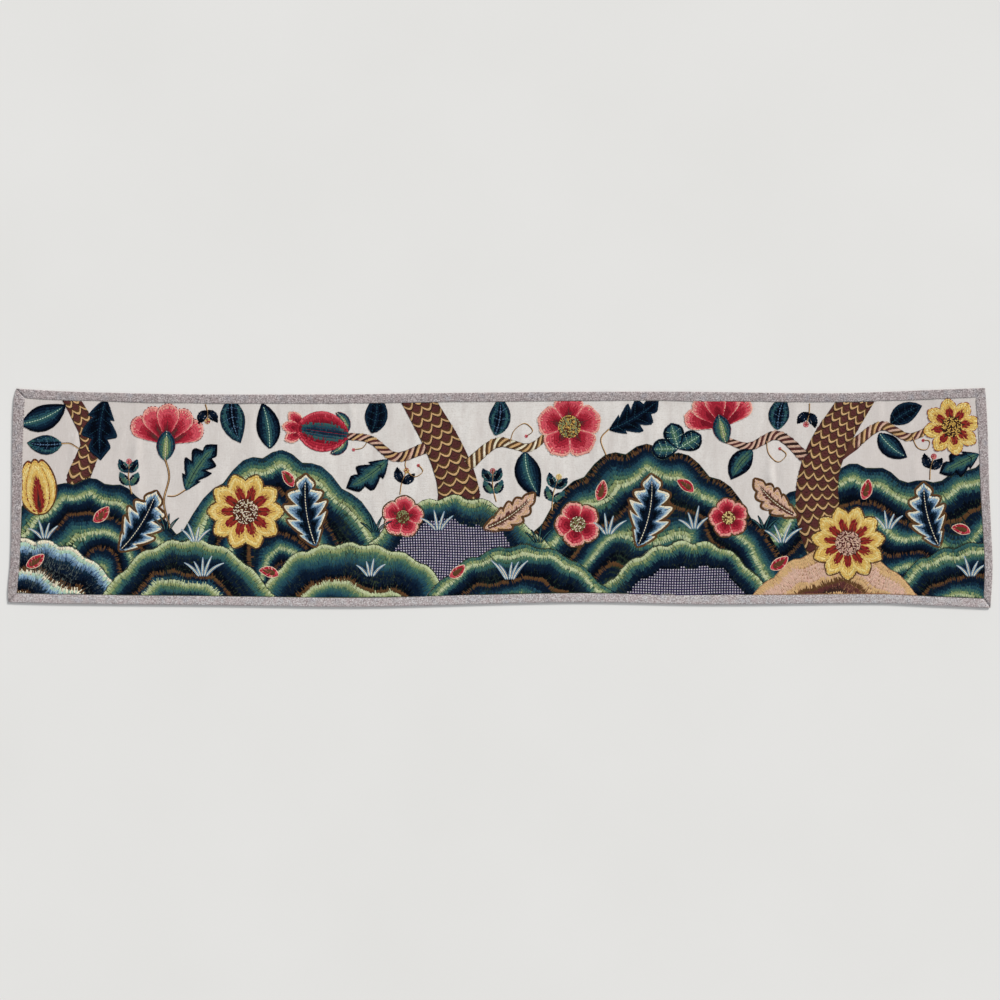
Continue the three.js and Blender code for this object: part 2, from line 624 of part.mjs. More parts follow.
// Every worked shape, from the back of the design to the front
const designs = [
  ...TRUNKS.map(stemDesign),
  ...FAR_HILLS.map(hillDesign),
  ...RIGHT_STEMS.map(stemDesign),
  ...NEAR_HILLS.map(hillDesign),
  ...LEAVES.map((leaf) => ({
    colour: NAVY,
    ...leaf,
    outlines: [turned(leafOutline(leaf), leaf.x, leaf.y, leaf.turn)],
  })),
  ...FLOWERS.map((flower) => ({
    ...flower,
    outlines: flower.kind(flower).map((outline) => turned(outline, flower.x, flower.y, flower.turn)),
  })),
];

// The wool's layer, cut to each shape, with whatever lies in front of the shape taken out of it
const SMALLEST_PATCH = 500;
const woolGap = (x, y, i, j) => linenTop(x, y, i, j) + CLEARANCE;
const woolTop = (x, y, i, j) => woolGap(x, y, i, j) + WOOL_THICKNESS;
const woolLayer = toSolid(gridSheet(woolGap, woolTop)).intersect(outlinePrism(windowOutline(), 0));

let inFront = null;
const worked = [];
for (const design of [...designs].reverse()) {
  let patch = woolLayer.intersect(prismOf(design.outlines, 0));
  if (inFront) patch = patch.subtract(inFront);
  const bodies = patch.decompose().filter((body) => body.volume() > SMALLEST_PATCH * WOOL_THICKNESS);
  bodies.sort((a, b) => b.volume() - a.volume());
  bodies.forEach((body, k) => {
    const name = k === 0 ? design.name : `${design.name}_part_${k + 1}`;
    worked.push({ name, body, colour: design.colour });
  });
  const keepOut = prismOf(design.outlines, CLEARANCE);
  inFront = inFront ? inFront.add(keepOut) : keepOut;
}
for (const { name, body, colour } of worked.reverse()) {
  addPiece(name, toGeometry(body), colour, 0.95);
}

// The origin is under the middle of the whole cloth
const middle = new THREE.Box3().setFromObject(panel).getCenter(new THREE.Vector3());
panel.position.set(-middle.x, -middle.y, 0);

export default panel;
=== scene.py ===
import math

import bpy
import numpy as np
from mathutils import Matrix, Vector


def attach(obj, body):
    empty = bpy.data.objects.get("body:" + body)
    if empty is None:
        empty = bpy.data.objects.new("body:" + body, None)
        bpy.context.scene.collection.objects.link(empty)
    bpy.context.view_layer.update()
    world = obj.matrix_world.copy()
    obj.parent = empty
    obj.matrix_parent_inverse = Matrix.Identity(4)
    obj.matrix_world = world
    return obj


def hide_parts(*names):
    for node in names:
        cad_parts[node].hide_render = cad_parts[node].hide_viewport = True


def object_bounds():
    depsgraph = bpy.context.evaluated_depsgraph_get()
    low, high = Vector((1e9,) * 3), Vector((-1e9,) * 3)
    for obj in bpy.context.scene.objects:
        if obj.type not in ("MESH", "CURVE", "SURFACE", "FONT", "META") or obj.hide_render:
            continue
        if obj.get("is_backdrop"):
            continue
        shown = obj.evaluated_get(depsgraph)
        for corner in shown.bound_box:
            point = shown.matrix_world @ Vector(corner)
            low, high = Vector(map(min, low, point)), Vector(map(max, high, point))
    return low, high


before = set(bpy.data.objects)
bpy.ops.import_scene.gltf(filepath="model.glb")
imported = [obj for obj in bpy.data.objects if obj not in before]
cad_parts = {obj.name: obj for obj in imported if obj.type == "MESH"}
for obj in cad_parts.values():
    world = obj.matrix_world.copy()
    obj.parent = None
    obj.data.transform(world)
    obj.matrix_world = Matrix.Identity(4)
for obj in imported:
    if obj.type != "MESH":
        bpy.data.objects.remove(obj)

cad_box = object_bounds()
MM = 0.001


# The panel is photographed from straight above on a pale matt floor, in soft window light
# that falls from the upper right, with an even pale sky around it.
FLOOR_DROP = 0.0006
FLOOR_SIZE = 9.0
VIEW_WIDTH = 1.911
VIEW_MIDDLE = (-0.0006, -0.0038)
LENS = 50.0
SENSOR = 36.0
SUN_FROM = (1.0, 1.25, 0.9)
SUN_STRENGTH = 3.1
SUN_SOFTNESS = 14
SUN_COLOUR = (1.0, 0.985, 0.955)
SKY_COLOUR = (0.95, 0.97, 1.0, 1)
SKY_STRENGTH = 0.5


def dye(red, green, blue):
    """A colour named by its screen values, as the shaders' own linear numbers."""
    channels = np.array([red, green, blue]) / 255
    linear = np.where(channels <= 0.04045, channels / 12.92, ((channels + 0.055) / 1.055) ** 2.4)
    return tuple(float(c) for c in linear)


def new_material(name, roughness, sheen=0.0):
    """A matt cloth material, with its node tree and its shader."""
    material = bpy.data.materials.new(name)
    material.use_nodes = True
    tree = material.node_tree
    shader = tree.nodes["Principled BSDF"]
    shader.inputs["Roughness"].default_value = roughness
    shader.inputs["Specular IOR Level"].default_value = 0.12
    shader.inputs["Sheen Weight"].default_value = sheen
    shader.inputs["Sheen Roughness"].default_value = 0.5
    return material, tree, shader


def mix_colour(tree, factor, first, second):
    mix = tree.nodes.new("ShaderNodeMix")
    mix.data_type = "RGBA"
    for socket, value in ((mix.inputs[0], factor), (mix.inputs[6], first), (mix.inputs[7], second)):
        if isinstance(value, bpy.types.NodeSocket):
            tree.links.new(value, socket)
        elif isinstance(value, tuple):
            socket.default_value = (*value, 1)
        else:
            socket.default_value = value
    return mix.outputs[2]


def noise(tree, place, scale, detail=2.0):
    grain = tree.nodes.new("ShaderNodeTexNoise")
    grain.inputs["Scale"].default_value = scale
    grain.inputs["Detail"].default_value = detail
    tree.links.new(place, grain.inputs["Vector"])
    return grain.outputs["Fac"]


def stretched(tree, scale):
    place = tree.nodes.new("ShaderNodeTexCoord")
    mapping = tree.nodes.new("ShaderNodeMapping")
    mapping.inputs["Scale"].default_value = scale
    tree.links.new(place.outputs["Object"], mapping.inputs["Vector"])
    return mapping.outputs["Vector"]


bpy.ops.mesh.primitive_plane_add(size=FLOOR_SIZE, location=(0, 0, -FLOOR_DROP))
floor = bpy.context.object
floor.name = "pale_floor"
floor_finish, tree, shader = new_material("pale_floor", roughness=0.7)
floor_cloud = noise(tree, stretched(tree, (1, 1, 1)), 2.5, 4)
floor_tone = mix_colour(tree, floor_cloud, dye(228, 227, 224), dye(235, 234, 232))
tree.links.new(floor_tone, shader.inputs["Base Color"])
floor.data.materials.append(floor_finish)
floor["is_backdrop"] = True

camera_lens = bpy.data.cameras.new("overhead")
camera_lens.lens = LENS
camera_lens.sensor_width = SENSOR
camera = bpy.data.objects.new("overhead", camera_lens)
camera.location = (*VIEW_MIDDLE, VIEW_WIDTH / 2 / (SENSOR / 2 / LENS))
bpy.context.scene.collection.objects.link(camera)
bpy.context.scene.camera = camera

window_light = bpy.data.lights.new("window", "SUN")
window_light.energy = SUN_STRENGTH
window_light.angle = math.radians(SUN_SOFTNESS)
window_light.color = SUN_COLOUR
window = bpy.data.objects.new("window", window_light)
window.location = SUN_FROM
window.rotation_euler = window.location.to_track_quat("Z", "Y").to_euler()
bpy.context.scene.collection.objects.link(window)

sky = bpy.data.worlds.new("pale_room")
sky.use_nodes = True
background = sky.node_tree.nodes["Background"]
background.inputs["Color"].default_value = SKY_COLOUR
background.inputs["Strength"].default_value = SKY_STRENGTH
bpy.context.scene.world = sky
bpy.context.scene.view_settings.view_transform = "Standard"


# The drawing: before any wool is worked, the design is traced on the linen in closed outlines,
# from back to front. It is a plain run of hillocks, trunks, leaves and flowers of common crewel kinds.
# All sizes from here on are in millimetres. The edge tables give the bowed outer edges, as (at, out).
TOP_EDGE = [
    (-924, 209), (-841, 204), (-746, 201), (-593, 198), (-287, 198), (-58, 201), (324, 203),
    (630, 200), (745, 203), (840, 207), (926, 210),
]
BOTTOM_EDGE = [
    (-939, -199), (-841, -201.5), (-536, -204.7), (-287, -208), (-134, -205), (18, -201),
    (171, -199), (400, -203), (726, -201), (821, -205), (936, -210),
]
LEFT_EDGE = [
    (-199, -939), (-179, -940), (-118, -935), (-4, -932.5), (111, -931.5), (187, -929), (209, -924),
]
RIGHT_EDGE = [
    (-210, 936), (-156, 939.5), (-118, 940), (-61, 937.5), (15, 934), (149, 930), (210, 926),
]
STRIP_WIDTH = {"top": (17, 17), "bottom": (17, 17), "left": (17, 21), "right": (14, 19)}
WINDOW_CLEAR = 0.6
MIDDLE_SHIFT = -0.3
HALF_LENGTH, HALF_DEPTH = 930, 205

# Hills: lump height and pitch, then the crest
FAR_HILLS = {
    "hill_far_left": (12, 62, [(-935, -40), (-850, 12), (-770, 26), (-690, -4), (-620, -70), (-560, -150)]),
    "hill_far_right": (13, 66, [
        (440, -140), (530, -20), (610, 36), (700, 54), (790, 22), (860, 34), (940, 70),
    ]),
    "hill_high_left": (14, 76, [
        (-680, -150), (-600, -56), (-520, 36), (-440, 78), (-360, 58), (-280, -4), (-220, -80), (-170, -170),
    ]),
    "hill_high_right": (15, 80, [
        (0, -170), (80, -50), (160, 40), (250, 86), (340, 76), (430, 16), (500, -66), (560, -160),
    ]),
    "hill_middle": (11, 58, [
        (-290, -150), (-220, -60), (-140, -12), (-60, -6), (20, -34), (90, -96), (150, -170),
    ]),
}
NEAR_HILLS = {
    "mound_1": (8, 48, [(-935, -84), (-870, -86), (-790, -116), (-700, -200)]),
    "mound_3": (8, 52, [(-470, -200), (-400, -118), (-300, -92), (-200, -106), (-130, -144), (-90, -210)]),
    "mound_2": (8, 55, [(-770, -200), (-690, -114), (-600, -84), (-510, -110), (-420, -200)]),
    "mound_5": (8, 50, [(170, -200), (260, -118), (350, -88), (440, -108), (530, -200)]),
    "mound_4": (8, 56, [(-150, -200), (-70, -128), (30, -96), (130, -118), (230, -200)]),
    "mound_7": (8, 50, [(720, -200), (810, -118), (940, -84)]),
    "mound_6": (8, 54, [(470, -200), (560, -124), (650, -102), (730, -128), (810, -200)]),
}
# Trunks and boughs: width at the root and at the end, then the line they follow
TRUNKS = {
    "trunk_left": (52, 30, [(-788, -60), (-806, 30), (-782, 110), (-828, 205)]),
    "trunk_middle": (92, 58, [(-96, -90), (-78, 0), (-104, 90), (-168, 205)]),
}
RIGHT_STEMS = {
    "trunk_right": (98, 60, [(656, -150), (608, -30), (618, 80), (692, 205)]),
    "bough_middle": (22, 12, [(-62, 62), (-6, 106), (54, 96), (96, 126)]),
    "bough_left": (21, 12, [(-142, 96), (-200, 78), (-248, 112), (-304, 118)]),
    "bough_right": (21, 12, [(582, 78), (530, 120), (476, 98), (428, 112)]),
    "bough_far_right": (20, 12, [(672, 100), (728, 138), (780, 116), (832, 138)]),
}
# Leaves: place, turn, length, width, lobes, bite and bend
LEAVES = {
    "leaf_01": (-914, 142, 6, 94, 50, 0, 0, 0.6),
    "leaf_02": (-752, 190, 252, 120, 70, 3, 0.5, 0.45),
    "leaf_03": (-600, 14, 70, 108, 62, 4, 0.5, -0.5),
    "leaf_04": (-512, 190, -96, 88, 48, 0, 0, 0.6),
    "leaf_05": (-440, 94, 88, 90, 46, 0, 0, 0.4),
    "leaf_06": (-246, 124, 66, 76, 44, 0, 0, 0.6),
    "leaf_07": (-214, 74, 226, 98, 58, 3, 0.45, -0.4),
    "leaf_08": (-10, 120, 66, 74, 42, 0, 0, 0.6),
    "leaf_09": (48, 88, -92, 92, 50, 0, 0, 0.7),
    "leaf_10": (208, 130, 20, 112, 64, 4, 0.5, 0.4),
    "leaf_11": (482, 90, 216, 70, 42, 0, 0, 0.6),
    "leaf_12": (530, 130, 92, 66, 40, 0, 0, -0.5),
    "leaf_13": (724, 124, -58, 72, 40, 0, 0, 0.6),
    "leaf_14": (746, 142, 44, 70, 40, 0, 0, -0.5),
    "leaf_15": (914, 84, 206, 84, 50, 3, 0.45, 0),
    "leaf_16": (-836, 104, 190, 68, 38, 0, 0, -0.4),
}
FERNS = {
    "fern_1": (-726, -100, 44, 134, 78, 5, 0.55, 0.5),
    "fern_2": (-352, -92, 112, 140, 84, 5, 0.55, -0.5),
    "fern_3": (262, -92, 62, 142, 86, 5, 0.55, 0.6),
    "fern_4": (838, -92, 118, 126, 74, 5, 0.55, -0.5),
}
FRONDS = {
    "frond_1": (-30, -58, 18, 118, 46, 5, 0.45, 0.6),
    "frond_2": (566, -34, 156, 108, 46, 5, 0.45, -0.6),
}
HILL_FOOT = -230
LOBE_LEAN = 0.7
PART_STEPS = 60


def smooth_curve(rows):
    """A smooth curve through the rows (at, out) of a table."""
    at, out = np.array(rows, float).T
    before = np.maximum(np.arange(len(at)) - 1, 0)
    after = np.minimum(np.arange(len(at)) + 1, len(at) - 1)
    slope = (out[after] - out[before]) / (at[after] - at[before])

    def curve(where):
        where = np.asarray(where, float)
        i = np.clip(np.searchsorted(at, where) - 1, 0, len(at) - 2)
        span = at[i + 1] - at[i]
        t = np.clip((where - at[i]) / span, 0, 1)
        start = (2 * t**3 - 3 * t**2 + 1) * out[i] + (t**3 - 2 * t**2 + t) * span * slope[i]
        end = (3 * t**2 - 2 * t**3) * out[i + 1] + (t**3 - t**2) * span * slope[i + 1]
        return start + end

    return curve


edges = {
    "top": smooth_curve(TOP_EDGE), "bottom": smooth_curve(BOTTOM_EDGE),
    "left": smooth_curve(LEFT_EDGE), "right": smooth_curve(RIGHT_EDGE),
}


def leftward(run):
    """Each direction turned a quarter to the left."""
    return np.stack([-run[:, 1], run[:, 0]], 1)


def distance_along(line):
    """How far along a line each of its points lies."""
    return np.concatenate([[0], np.cumsum(np.linalg.norm(np.diff(line, axis=0), axis=1))])


def spots_on(line, stations, where):
    """The points of a line at those places between its stations."""
    return np.stack([np.interp(where, stations, line[:, axis]) for axis in (0, 1)], 1)


def turned(points, x, y, degrees):
    angle = math.radians(degrees)
    turn = np.array([[math.cos(angle), math.sin(angle)], [-math.sin(angle), math.cos(angle)]])
    return np.asarray(points, float) @ turn + (x, y)


def leaf_sides(length, width, lobes=0, bite=0.0, bend=0.0, belly=0.45, full=0.8):
    """The midrib, right side and left side of a leaf or petal, from its stalk to its tip."""
    t = np.linspace(0, 1, PART_STEPS + 1)
    heading = bend * t
    middle_heading = bend * (t[1:] - 0.5 / PART_STEPS)
    mid = np.zeros((PART_STEPS + 1, 2))
    mid[1:, 0] = np.cumsum(length / PART_STEPS * np.cos(middle_heading))
    mid[1:, 1] = np.cumsum(length / PART_STEPS * np.sin(middle_heading))
    skew = math.log(0.5) / math.log(belly)
    crown = np.abs(np.sin(math.pi * lobes * t))
    bitten = 1 - bite * (1 - crown) if lobes else 1
    half = width / 2 * np.sin(math.pi * t**skew).clip(0) ** full * bitten
    forward = LOBE_LEAN * half * crown * (1 - t)
    ahead = np.stack([np.cos(heading), np.sin(heading)], 1)
    tip = mid + ahead * forward[:, None]
    aside = leftward(ahead) * half[:, None]
    return mid, tip - aside, tip + aside


def placed(sides, x, y, degrees):
    return tuple(turned(side, x, y, degrees) for side in sides)


def flowing_line(knots):
    """A smooth line through its knots, with its tangents."""
    knots = np.array(knots, float)
    ends = np.vstack([2 * knots[0] - knots[1], knots, 2 * knots[-1] - knots[-2]])
    share = np.linspace(0, len(knots) - 1, PART_STEPS + 1)
    i = np.minimum(share.astype(int), len(knots) - 2)
    t = (share - i)[:, None]
    a, b, c, d = (ends[i + k] for k in range(4))
    bow = (2 * a - 5 * b + 4 * c - d) * t**2 + (3 * b - a - 3 * c + d) * t**3
    line = 0.5 * (2 * b + (c - a) * t + bow)
    along = np.gradient(line, axis=0)
    return line, along / np.linalg.norm(along, axis=1)[:, None]


def stem_sides(start_width, end_width, knots):
    line, along = flowing_line(knots)
    half = np.linspace(start_width, end_width, len(line))[:, None] / 2
    aside = leftward(along) * half
    return line, line - aside, line + aside


def hill_crest(lump, pitch, crest):
    """The crest line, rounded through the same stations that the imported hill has."""
    first, last = crest[0][0], crest[-1][0]
    x = np.linspace(first, last, math.ceil((last - first) / (pitch / 4)) + 1)
    lumps = lump * np.abs(np.sin(math.pi * (x - first) / pitch))
    fine = np.arange(first, last, 2.0)
    return np.stack([fine, smooth_curve(np.stack([x, smooth_curve(crest)(x) + lumps], 1))(fine)], 1)


def circle(radius):
    angle = np.linspace(0, 2 * math.pi, 24, endpoint=False)
    return radius * np.stack([np.cos(angle), np.sin(angle)], 1)


# Flowers are lists of parts, each a kind with its sides: a petal, a cup, a fruit, a leaf or a heart.
# Their proportions are shares of the flower's size.
def rosette(size, petals, plump=0.8):
    petal = leaf_sides(size / 2, plump * size * math.sin(math.pi / petals), belly=0.68)
    parts = [("petal", placed(petal, 0, 0, 360 * k / petals)) for k in range(petals)]
    return parts + [("heart", circle(size * 0.17))]


def fan_flower(size, petals=5, spread=112):
    petal = leaf_sides(size * 0.7, size * 0.38, belly=0.74, full=0.6)
    angles = [-spread / 2 + spread * k / (petals - 1) for k in range(petals)]
    angles.sort(key=lambda angle: -abs(angle))
    parts = [("petal", placed(petal, size * 0.24, 0, angle)) for angle in angles]
    return parts + [("cup", leaf_sides(size * 0.5, size * 0.32, belly=0.5, full=0.6))]


def tulip(size):
    parts = []
    for angle in (-24, 24, 0):
        petal = leaf_sides(size, size * 0.42, bend=-angle / 40, belly=0.42, full=0.7)
        parts.append(("petal", placed(petal, 0, 0, angle)))
    return parts


def pomegranate(size):
    parts = []
    for angle in (-38, 38, 0):
        crown = leaf_sides(size * 0.36, size * 0.2, belly=0.6)
        parts.append(("petal", placed(crown, size * 0.66, 0, angle)))
    for angle in (-100, 100):
        sepal = leaf_sides(size * 0.4, size * 0.18, bend=-angle / 70, belly=0.5)
        parts.append(("cup", placed(sepal, size * 0.05, 0, angle)))
    return parts + [("fruit", leaf_sides(size * 0.8, size * 0.62, belly=0.5, full=0.55))]


def trefoil(size):
    leaflet = leaf_sides(size * 0.56, size * 0.44, belly=0.6, full=0.6)
    return [("leaf", placed(leaflet, 0, 0, angle)) for angle in (-75, 75, 0)]


# Flowers: their parts, then place and turn
FLOWERS = {
    "carnation_left": (fan_flower(116), -640, 72, 86),
    "tulip_left": (tulip(104), -878, -30, 96),
    "pomegranate": (pomegranate(126), -290, 120, 172),
    "rose_middle": (rosette(126, 5, 0.78), 132, 136, 20),
    "aster_left": (rosette(146, 10), -486, -26, 0),
    "aster_right": (rosette(142, 11), 664, -86, 8),
    "carnation_right": (fan_flower(110), 430, 106, 104),
    "star_flower": (rosette(112, 8, 0.7), 862, 136, 10),
    "pink_1": (rosette(80, 5, 0.78), -186, -36, 10),
    "pink_2": (rosette(88, 5, 0.78), 148, -50, 40),
    "pink_3": (rosette(76, 5, 0.78), 436, -38, 30),
    "trefoil": (trefoil(92), 340, 94, 106),
}

shapes = {}
for stems, hills in ((TRUNKS, FAR_HILLS), (RIGHT_STEMS, NEAR_HILLS)):
    for name, (start_width, end_width, knots) in stems.items():
        shapes[name] = [("stem", stem_sides(start_width, end_width, knots))]
    for name, (lump, pitch, crest) in hills.items():
        shapes[name] = [("hill", hill_crest(lump, pitch, crest))]
for name, (x, y, turn, length, width, lobes, bite, bend) in {**LEAVES, **FERNS, **FRONDS}.items():
    shapes[name] = [("leaf", placed(leaf_sides(length, width, lobes, bite, bend), x, y, turn))]
for name, (parts, x, y, turn) in FLOWERS.items():
    shapes[name] = [
        (kind, turned(part, x, y, turn) if kind == "heart" else placed(part, x, y, turn))
        for kind, part in parts
    ]


def outline_of(kind, part):
    if kind == "hill":
        return np.concatenate([part, [(part[-1, 0], HILL_FOOT), (part[0, 0], HILL_FOOT)]])
    if kind == "heart":
        return part
    return np.concatenate([part[1], part[2][::-1]])


# The tracing as a map of 1 mm cells: each holds the number of the part in front, 0 where the linen
# stays bare and -1 under the binding
MAP_LEFT, MAP_FOOT, MAP_WIDE, MAP_HIGH = -950, -220, 1900, 440
BARE, BOUND = 0, -1
cell_x = MAP_LEFT + 0.5 + np.arange(MAP_WIDE)
cell_y = MAP_FOOT + 0.5 + np.arange(MAP_HIGH)
tracing = np.full((MAP_HIGH, MAP_WIDE), BARE, np.int16)
part_numbers = {}
for name, parts in shapes.items():
    for k, (kind, part) in enumerate(parts):
        outline = outline_of(kind, part)
        part_numbers[name, k] = len(part_numbers) + 1
        inside = np.zeros(tracing.shape, bool)
        first = max(0, int(outline[:, 0].min() - MAP_LEFT) - 1)
        last = min(MAP_WIDE, int(outline[:, 0].max() - MAP_LEFT) + 2)
        for (ax, ay), (bx, by) in zip(outline, np.roll(outline, -1, axis=0)):
            crossed = np.nonzero((ay > cell_y) != (by > cell_y))[0]
            if len(crossed):
                meets = ax + (cell_y[crossed] - ay) / (by - ay) * (bx - ax)
                inside[crossed, first:last] ^= cell_x[None, first:last] < meets[:, None]
        tracing[inside] = part_numbers[name, k]
map_x, map_y = np.meshgrid(cell_x, cell_y)
up_share = (map_y + HALF_DEPTH) / (2 * HALF_DEPTH)
open_sides = [map_x - edges["left"](map_y), edges["right"](map_y) - map_x]
open_sides += [map_y - edges["bottom"](map_x), edges["top"](map_x) - map_y]
for gap, side in zip(open_sides, ("left", "right", "bottom", "top")):
    start_width, end_width = STRIP_WIDTH[side]
    tracing[gap < start_width + (end_width - start_width) * up_share + WINDOW_CLEAR] = BOUND


def map_cell(x, y):
    column = np.clip((x - MAP_LEFT).astype(int), 0, MAP_WIDE - 1)
    row = np.clip((y - MAP_FOOT).astype(int), 0, MAP_HIGH - 1)
    return row, column


def traced(x, y):
    """The number of the part in front at each point."""
    return tracing[map_cell(x, y)]


# The ground: one length of cream linen, closely woven, softly rumpled wherever it stays bare.
# It lies flat on the floor, and its cut edges are folded into the binding, which lifts them a little.
LINEN_THICKNESS = 1.6
LINEN_LIFT = 1.1
LINEN_INSET = 2.7
LIFTED_INSET = 15.0
SETTLED_INSET = 26.0
RIPPLE_HEIGHT = 1.2
COLUMN_PITCH = 4.5
ROW_PITCH = 10.0
RUMPLE_PITCH = (12, 70)
RUMPLE_HEIGHT = 0.95
CREASE_SOFTNESS = 0.3
CREASE_RISE = 1.5
CREASE_SWAY, CREASE_SWAY_PITCH = 4, 26
RUMPLE_SWAY, RUMPLE_SWAY_PITCH = 9, 37
FADE_REACH = 7
LINEN_CUT = (1866, 405)
NET_LEFT, NET_FOOT, NET_WIDE, NET_HIGH = -1000, -250, 2000, 500
LINEN_THREADS = 430
THREAD_WAVER = 2.5

# Creases in the bare linen: middle, length, turn, breadth and height
CREASES = [
    (-880, 92, 100, 84, 9, 0.6), (-850, 70, 70, 95, 7, -0.5), (-700, 60, 110, 82, 9, 0.6),
    (-684, 110, 70, 97, 7, -0.4), (-590, 130, 90, 88, 8, 0.6), (-545, 60, 80, 86, 7, -0.4),
    (-476, 130, 90, 92, 8, 0.5), (-330, 50, 60, 70, 8, 0.5), (-226, 20, 110, 82, 9, 0.6),
    (-180, 140, 70, 92, 8, 0.5), (-20, 40, 110, 98, 9, 0.6), (70, 40, 90, 86, 8, 0.5),
    (200, 90, 80, 84, 9, 0.5), (290, 140, 70, 94, 8, 0.5), (400, 60, 60, 80, 7, -0.4),
    (510, 30, 120, 86, 9, 0.6), (570, 150, 70, 92, 8, 0.5), (760, 70, 80, 86, 8, 0.6),
    (806, 90, 60, 97, 7, 0.4), (896, 80, 70, 88, 8, 0.5),
]


def edge_inset(x, y):
    """How far a point lies inside the nearest outer edge."""
    across = np.minimum(x - edges["left"](y), edges["right"](y) - x)
    return np.minimum(across, np.minimum(y - edges["bottom"](x), edges["top"](x) - y))


def held_up(x, y):
    return np.clip((SETTLED_INSET - edge_inset(x, y)) / (SETTLED_INSET - LIFTED_INSET), 0, 1)


def between_knots(net, column, row, eased=False):
    """A net's value at any column and row, between the four knots around it."""
    column = np.clip(column, 0, net.shape[1] - 1.001)
    row = np.clip(row, 0, net.shape[0] - 1.001)
    i, j = column.astype(int), row.astype(int)
    s, t = column - i, row - j
    if eased:
        s, t = s * s * (3 - 2 * s), t * t * (3 - 2 * t)
    low = net[j, i] * (1 - s) + net[j, i + 1] * s
    high = net[j + 1, i] * (1 - s) + net[j + 1, i + 1] * s
    return low * (1 - t) + high * t


def soft_noise(x, y, pitch_x, pitch_y, seed):
    """Smooth random height, mostly between -1 and 1, on a net of the given pitch."""
    knots = (int(NET_HIGH / pitch_y) + 3, int(NET_WIDE / pitch_x) + 3)
    net = np.random.default_rng(seed).normal(size=knots) / 2
    return between_knots(net, (x - NET_LEFT) / pitch_x, (y - NET_FOOT) / pitch_y, eased=True)


bare_share = (tracing <= BARE).astype(float)
for axis in (0, 1):
    shifts = range(-FADE_REACH, FADE_REACH + 1)
    bare_share = sum(np.roll(bare_share, shift, axis) for shift in shifts) / len(shifts)


def rumples(x, y):
    """The small creases and rumples, which only the bare linen has."""
    swayed = x + RUMPLE_SWAY * np.sin(y / RUMPLE_SWAY_PITCH)
    height = RUMPLE_HEIGHT * 2 * soft_noise(swayed, y, *RUMPLE_PITCH, 5)
    for middle_x, middle_y, length, turn, breadth, rise in CREASES:
        angle = math.radians(turn)
        along = (x - middle_x) * math.cos(angle) + (y - middle_y) * math.sin(angle)
        across = (y - middle_y) * math.cos(angle) - (x - middle_x) * math.sin(angle)
        across = across + CREASE_SWAY * np.sin(along / CREASE_SWAY_PITCH + middle_x)
        height += CREASE_RISE * rise * np.exp(-((2 * along / length) ** 4) - (across / breadth) ** 2)
    lifted = 0.5 * (height + np.sqrt(height**2 + CREASE_SOFTNESS))
    bare = np.clip(2 * bare_share[map_cell(x, y)] - 1, 0, 1)
    return lifted * bare * (1 - held_up(x, y))


def ground(x, y):
    """The height of the linen's worked face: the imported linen's soft ripples, with rumples on them."""
    narrow = np.sin(x / 34 + 0.9 * np.sin(y / 90))
    wide = 0.7 * np.sin(x / 73 - y / 160 + 1.3)
    ripple = RIPPLE_HEIGHT * np.maximum(0, 0.32 + 0.4 * (narrow + wide))
    held = held_up(x, y)
    return LINEN_THICKNESS + held * LINEN_LIFT + (1 - held) * ripple + rumples(x, y)


def ramp(tree, source, low, high, to_low=0.0, to_high=1.0):
    rise = tree.nodes.new("ShaderNodeMapRange")
    for socket, value in zip(("From Min", "From Max", "To Min", "To Max"), (low, high, to_low, to_high)):
        rise.inputs[socket].default_value = value
    tree.links.new(source, rise.inputs["Value"])
    return rise.outputs["Result"]


def reckon(tree, operation, first, second):
    total = tree.nodes.new("ShaderNodeMath")
    total.operation = operation
    for socket, value in zip(total.inputs, (first, second)):
        if isinstance(value, bpy.types.NodeSocket):
            tree.links.new(value, socket)
        else:
            socket.default_value = value
    return total.outputs[0]


def woven(tree, place, scale):
    """A plain weave: one wave across the cloth for the warp times one along it for the weft."""
    waves = []
    for direction in ("X", "Y"):
        wave = tree.nodes.new("ShaderNodeTexWave")
        wave.bands_direction = direction
        wave.inputs["Scale"].default_value = scale
        wave.inputs["Distortion"].default_value = THREAD_WAVER
        wave.inputs["Detail Scale"].default_value = 0.4
        tree.links.new(place, wave.inputs["Vector"])
        waves.append(wave.outputs["Fac"])
    return reckon(tree, "MULTIPLY", *waves)


def layered(tree, tone, layers):
    """A tone with each layer's dye mixed over it, by that layer's share."""
    for share, dyed in layers:
        tone = mix_colour(tree, share, tone, dyed)
    return tone


def raise_grain(tree, shader, height, distance, strength=1.0):
    bump = tree.nodes.new("ShaderNodeBump")
    bump.inputs["Distance"].default_value = distance
    bump.inputs["Strength"].default_value = strength
    tree.links.new(height, bump.inputs["Height"])
    tree.links.new(bump.outputs["Normal"], shader.inputs["Normal"])


def new_piece(name, points, loops, sizes, material):
    """A piece from points in the drawing's millimetres, moved to the model's frame in metres."""
    points = np.asarray(points, float) + (MIDDLE_SHIFT, 0, 0)
    mesh = bpy.data.meshes.new(name)
    mesh.vertices.add(len(points))
    mesh.vertices.foreach_set("co", (points * MM).astype(np.float32).ravel())
    mesh.loops.add(len(loops))
    mesh.loops.foreach_set("vertex_index", np.asarray(loops, np.int32))
    mesh.polygons.add(len(sizes))
    starts = np.concatenate([[0], np.cumsum(sizes)[:-1]])
    mesh.polygons.foreach_set("loop_start", starts.astype(np.int32))
    mesh.polygons.foreach_set("use_smooth", np.ones(len(sizes), bool))
    mesh.update(calc_edges=True)
    mesh.materials.append(material)
    piece = bpy.data.objects.new(name, mesh)
    bpy.context.scene.collection.objects.link(piece)
    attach(piece, "root")
    return piece


